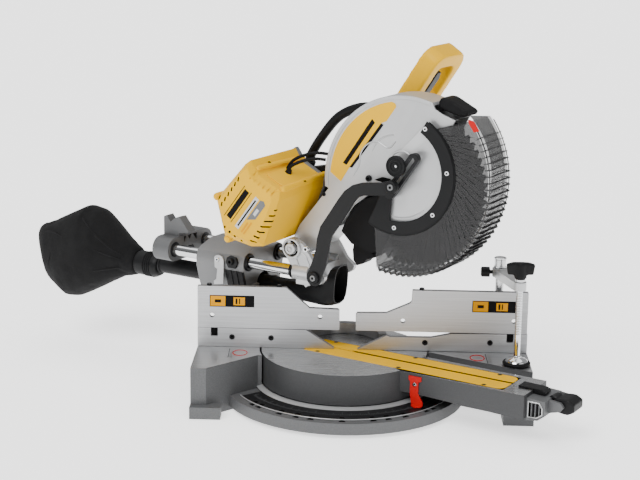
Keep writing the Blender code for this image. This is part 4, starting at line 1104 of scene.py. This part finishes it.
def fabric_bag():
    """The dust bag, inflated and creased as cloth."""
    bag = linked("bag_cloth", NODES["dust_bag"].data.copy())
    grid = bag.modifiers.new("grid", "REMESH")
    grid.mode, grid.voxel_size = "VOXEL", BAG_GRID
    baked(bag)
    rest = [vertex.co.copy() for vertex in bag.data.vertices]
    centre = sum(rest, Vector()) / len(rest)
    neck = max(side_point(point)[0] for point in rest)
    group = bag.vertex_groups.new(name="held")
    for vertex in bag.data.vertices:
        behind = neck - side_point(vertex.co)[0]
        if behind < BAG_NECK:
            group.add([vertex.index], 1.0, "REPLACE")
        vertex.co = centre + (vertex.co - centre) * (1.0 if behind < BAG_NECK else 0.985)
    cloth = bag.modifiers.new("cloth", "CLOTH")
    settings = cloth.settings
    settings.quality, settings.mass = 6, 0.25
    settings.tension_stiffness = settings.compression_stiffness = 18
    settings.bending_stiffness = 0.35
    settings.use_pressure, settings.uniform_pressure_force = True, 3.2
    settings.vertex_group_mass = "held"
    settings.effector_weights.gravity = 0
    settings.shrink_min = -0.035
    cloth.collision_settings.use_collision = False
    for frame_number in range(1, CLOTH_FRAMES + 1):
        bpy.context.scene.frame_set(frame_number)
    baked(bag)
    bpy.context.scene.frame_set(1)
    if len(bag.data.vertices) == len(rest):
        for vertex, start in zip(bag.data.vertices, rest):
            move = vertex.co - start
            if move.length > BAG_REACH:
                vertex.co = start + move.normalized() * BAG_REACH
    bag.vertex_groups.clear()
    smooth = bag.modifiers.new("fine", "SUBSURF")
    smooth.levels = smooth.render_levels = 1
    baked(bag)
    bag.data.materials.clear()
    bag.data.materials.append(FINISHES["cloth"])
    bag.data.shade_smooth()
    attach(bag, "carriage")
    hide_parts("dust_bag")
    tree = BVHTree.FromPolygons([vertex.co for vertex in bag.data.vertices],
                                [list(face.vertices) for face in bag.data.polygons])
    folds = (((-643, 196), (-612, 182), (-570, 150), (-532, 124)), ((-634, 203), (-596, 186), (-556, 158)),
             ((-604, 166), (-572, 150), (-540, 128), (-512, 116)), ((-590, 130), (-552, 118), (-515, 108)),
             ((-600, 74), (-560, 84), (-520, 92)), ((-728, 140), (-690, 146), (-652, 140)),
             ((-722, 60), (-700, 84), (-690, 120)))
    ridges = []
    for side in (-1, 1):
        for fold in folds:
            spots = []
            for t, z in fold:
                spot = tree.ray_cast(saw(t, z, side * 150), -RIGHT * side)[0]
                if spot:
                    spots.append(spot - RIGHT * (side * 0.8 * MM))
            if len(spots) > 2:
                path = smooth_path(spots, 6)
                reach = [0.5 + 2.2 * math.sin(math.pi * i / (len(path) - 1)) for i in range(len(path))]
                ridges.append(hose(path, reach, 10))
    new_piece("bag_folds", merged(ridges), "carriage", "cloth")
    seam = [(-735, 150), (-751, 146), (-750, 112), (-737, 76), (-720, 30)]
    path = smooth_path([saw(t, z, 0) for t, z in seam], 6)
    new_piece("bag_seam", hose(path, 1.8, 8), "carriage", "cloth")
    pull = smooth_path([saw(t, z, -4) for t, z in ((-738, 76), (-743, 66), (-744, 58))], 4)
    new_piece("bag_pull", hose(pull, 1.3, 8), "carriage", "cloth")


def main():
    widths = {
        "base_casting": 2.2, "detent_plate": 0.6, "fence_fixed": 1.0, "fence_upper_left": 1.2,
        "fence_upper_right": 1.2, "fence_knob_left": 1.0, "fence_knob_right": 1.0, "clamp_post": 0.6,
        "clamp_arm": 2.2, "clamp_foot": 1.0, "clamp_screw": 0.4, "clamp_set_knob": 1.0,
        "turntable": 1.6, "mitre_latch": 1.2, "slide_housing": 2.4,
        "rail_bearing_near": 0.8, "rail_bearing_far": 0.8, "bevel_pivot_bolt": 0.8, "bevel_lock_lever": 1.6,
        "rail_lock_knob": 1.2, "rail_near": 0.6, "rail_far": 0.6, "rail_end_cap": 2.0, "head_bracket": 1.8,
        "head_pivot_pin": 0.8, "head_spring": 0.3, "dust_duct": 1.6, "bag_collar": 1.2, "dust_funnel": 1.0,
        "upper_guard": 1.6, "belt_housing": 2.0, "belt_cover": 2.0,
        "carry_handle": 1.5, "kerf_deflector": 0.6, "motor_cable_1": 0.5,
        "motor_cable_2": 0.5, "drive_belt": 0.3, "trigger": 1.2, "arbor_shaft": 0.6, "saw_blade": 0.3,
        "blade_flange": 0.8, "arbor_bolt": 0.8, "driven_pulley": 0.5, "motor_rotor": 0.8,
        "guard_plate": 0.8, "guard_ring": 0.9, "guard_link": 1.0,
    }
    special = {"base_casting": "base_top", "turntable": "table_top", "slide_housing": "housing_grey",
               "saw_blade": "blade", "clamp_foot": "rubber", "clamp_post": "steel"}
    for node, width in widths.items():
        rounded(node, width, special.get(node))
    melted = {"d_handle": (2.6, 16), "guard_bumper": (2.2, 14), "clamp_knob": (1.8, 8),
              "mitre_lock_lever": (1.8, 12)}
    for node, (voxel, passes) in melted.items():
        softened(node, voxel, passes)
    motor()
    guard_trim()
    link_cap()
    lower_guard()
    base_details()
    fence_details()
    table_details()
    clamp_details()
    slide_details()
    carriage_details()
    link_details()
    handle_details()
    fabric_bag()
    paint("mitre_pivot_bolt", "steel")
    studio()
    camera()


main()
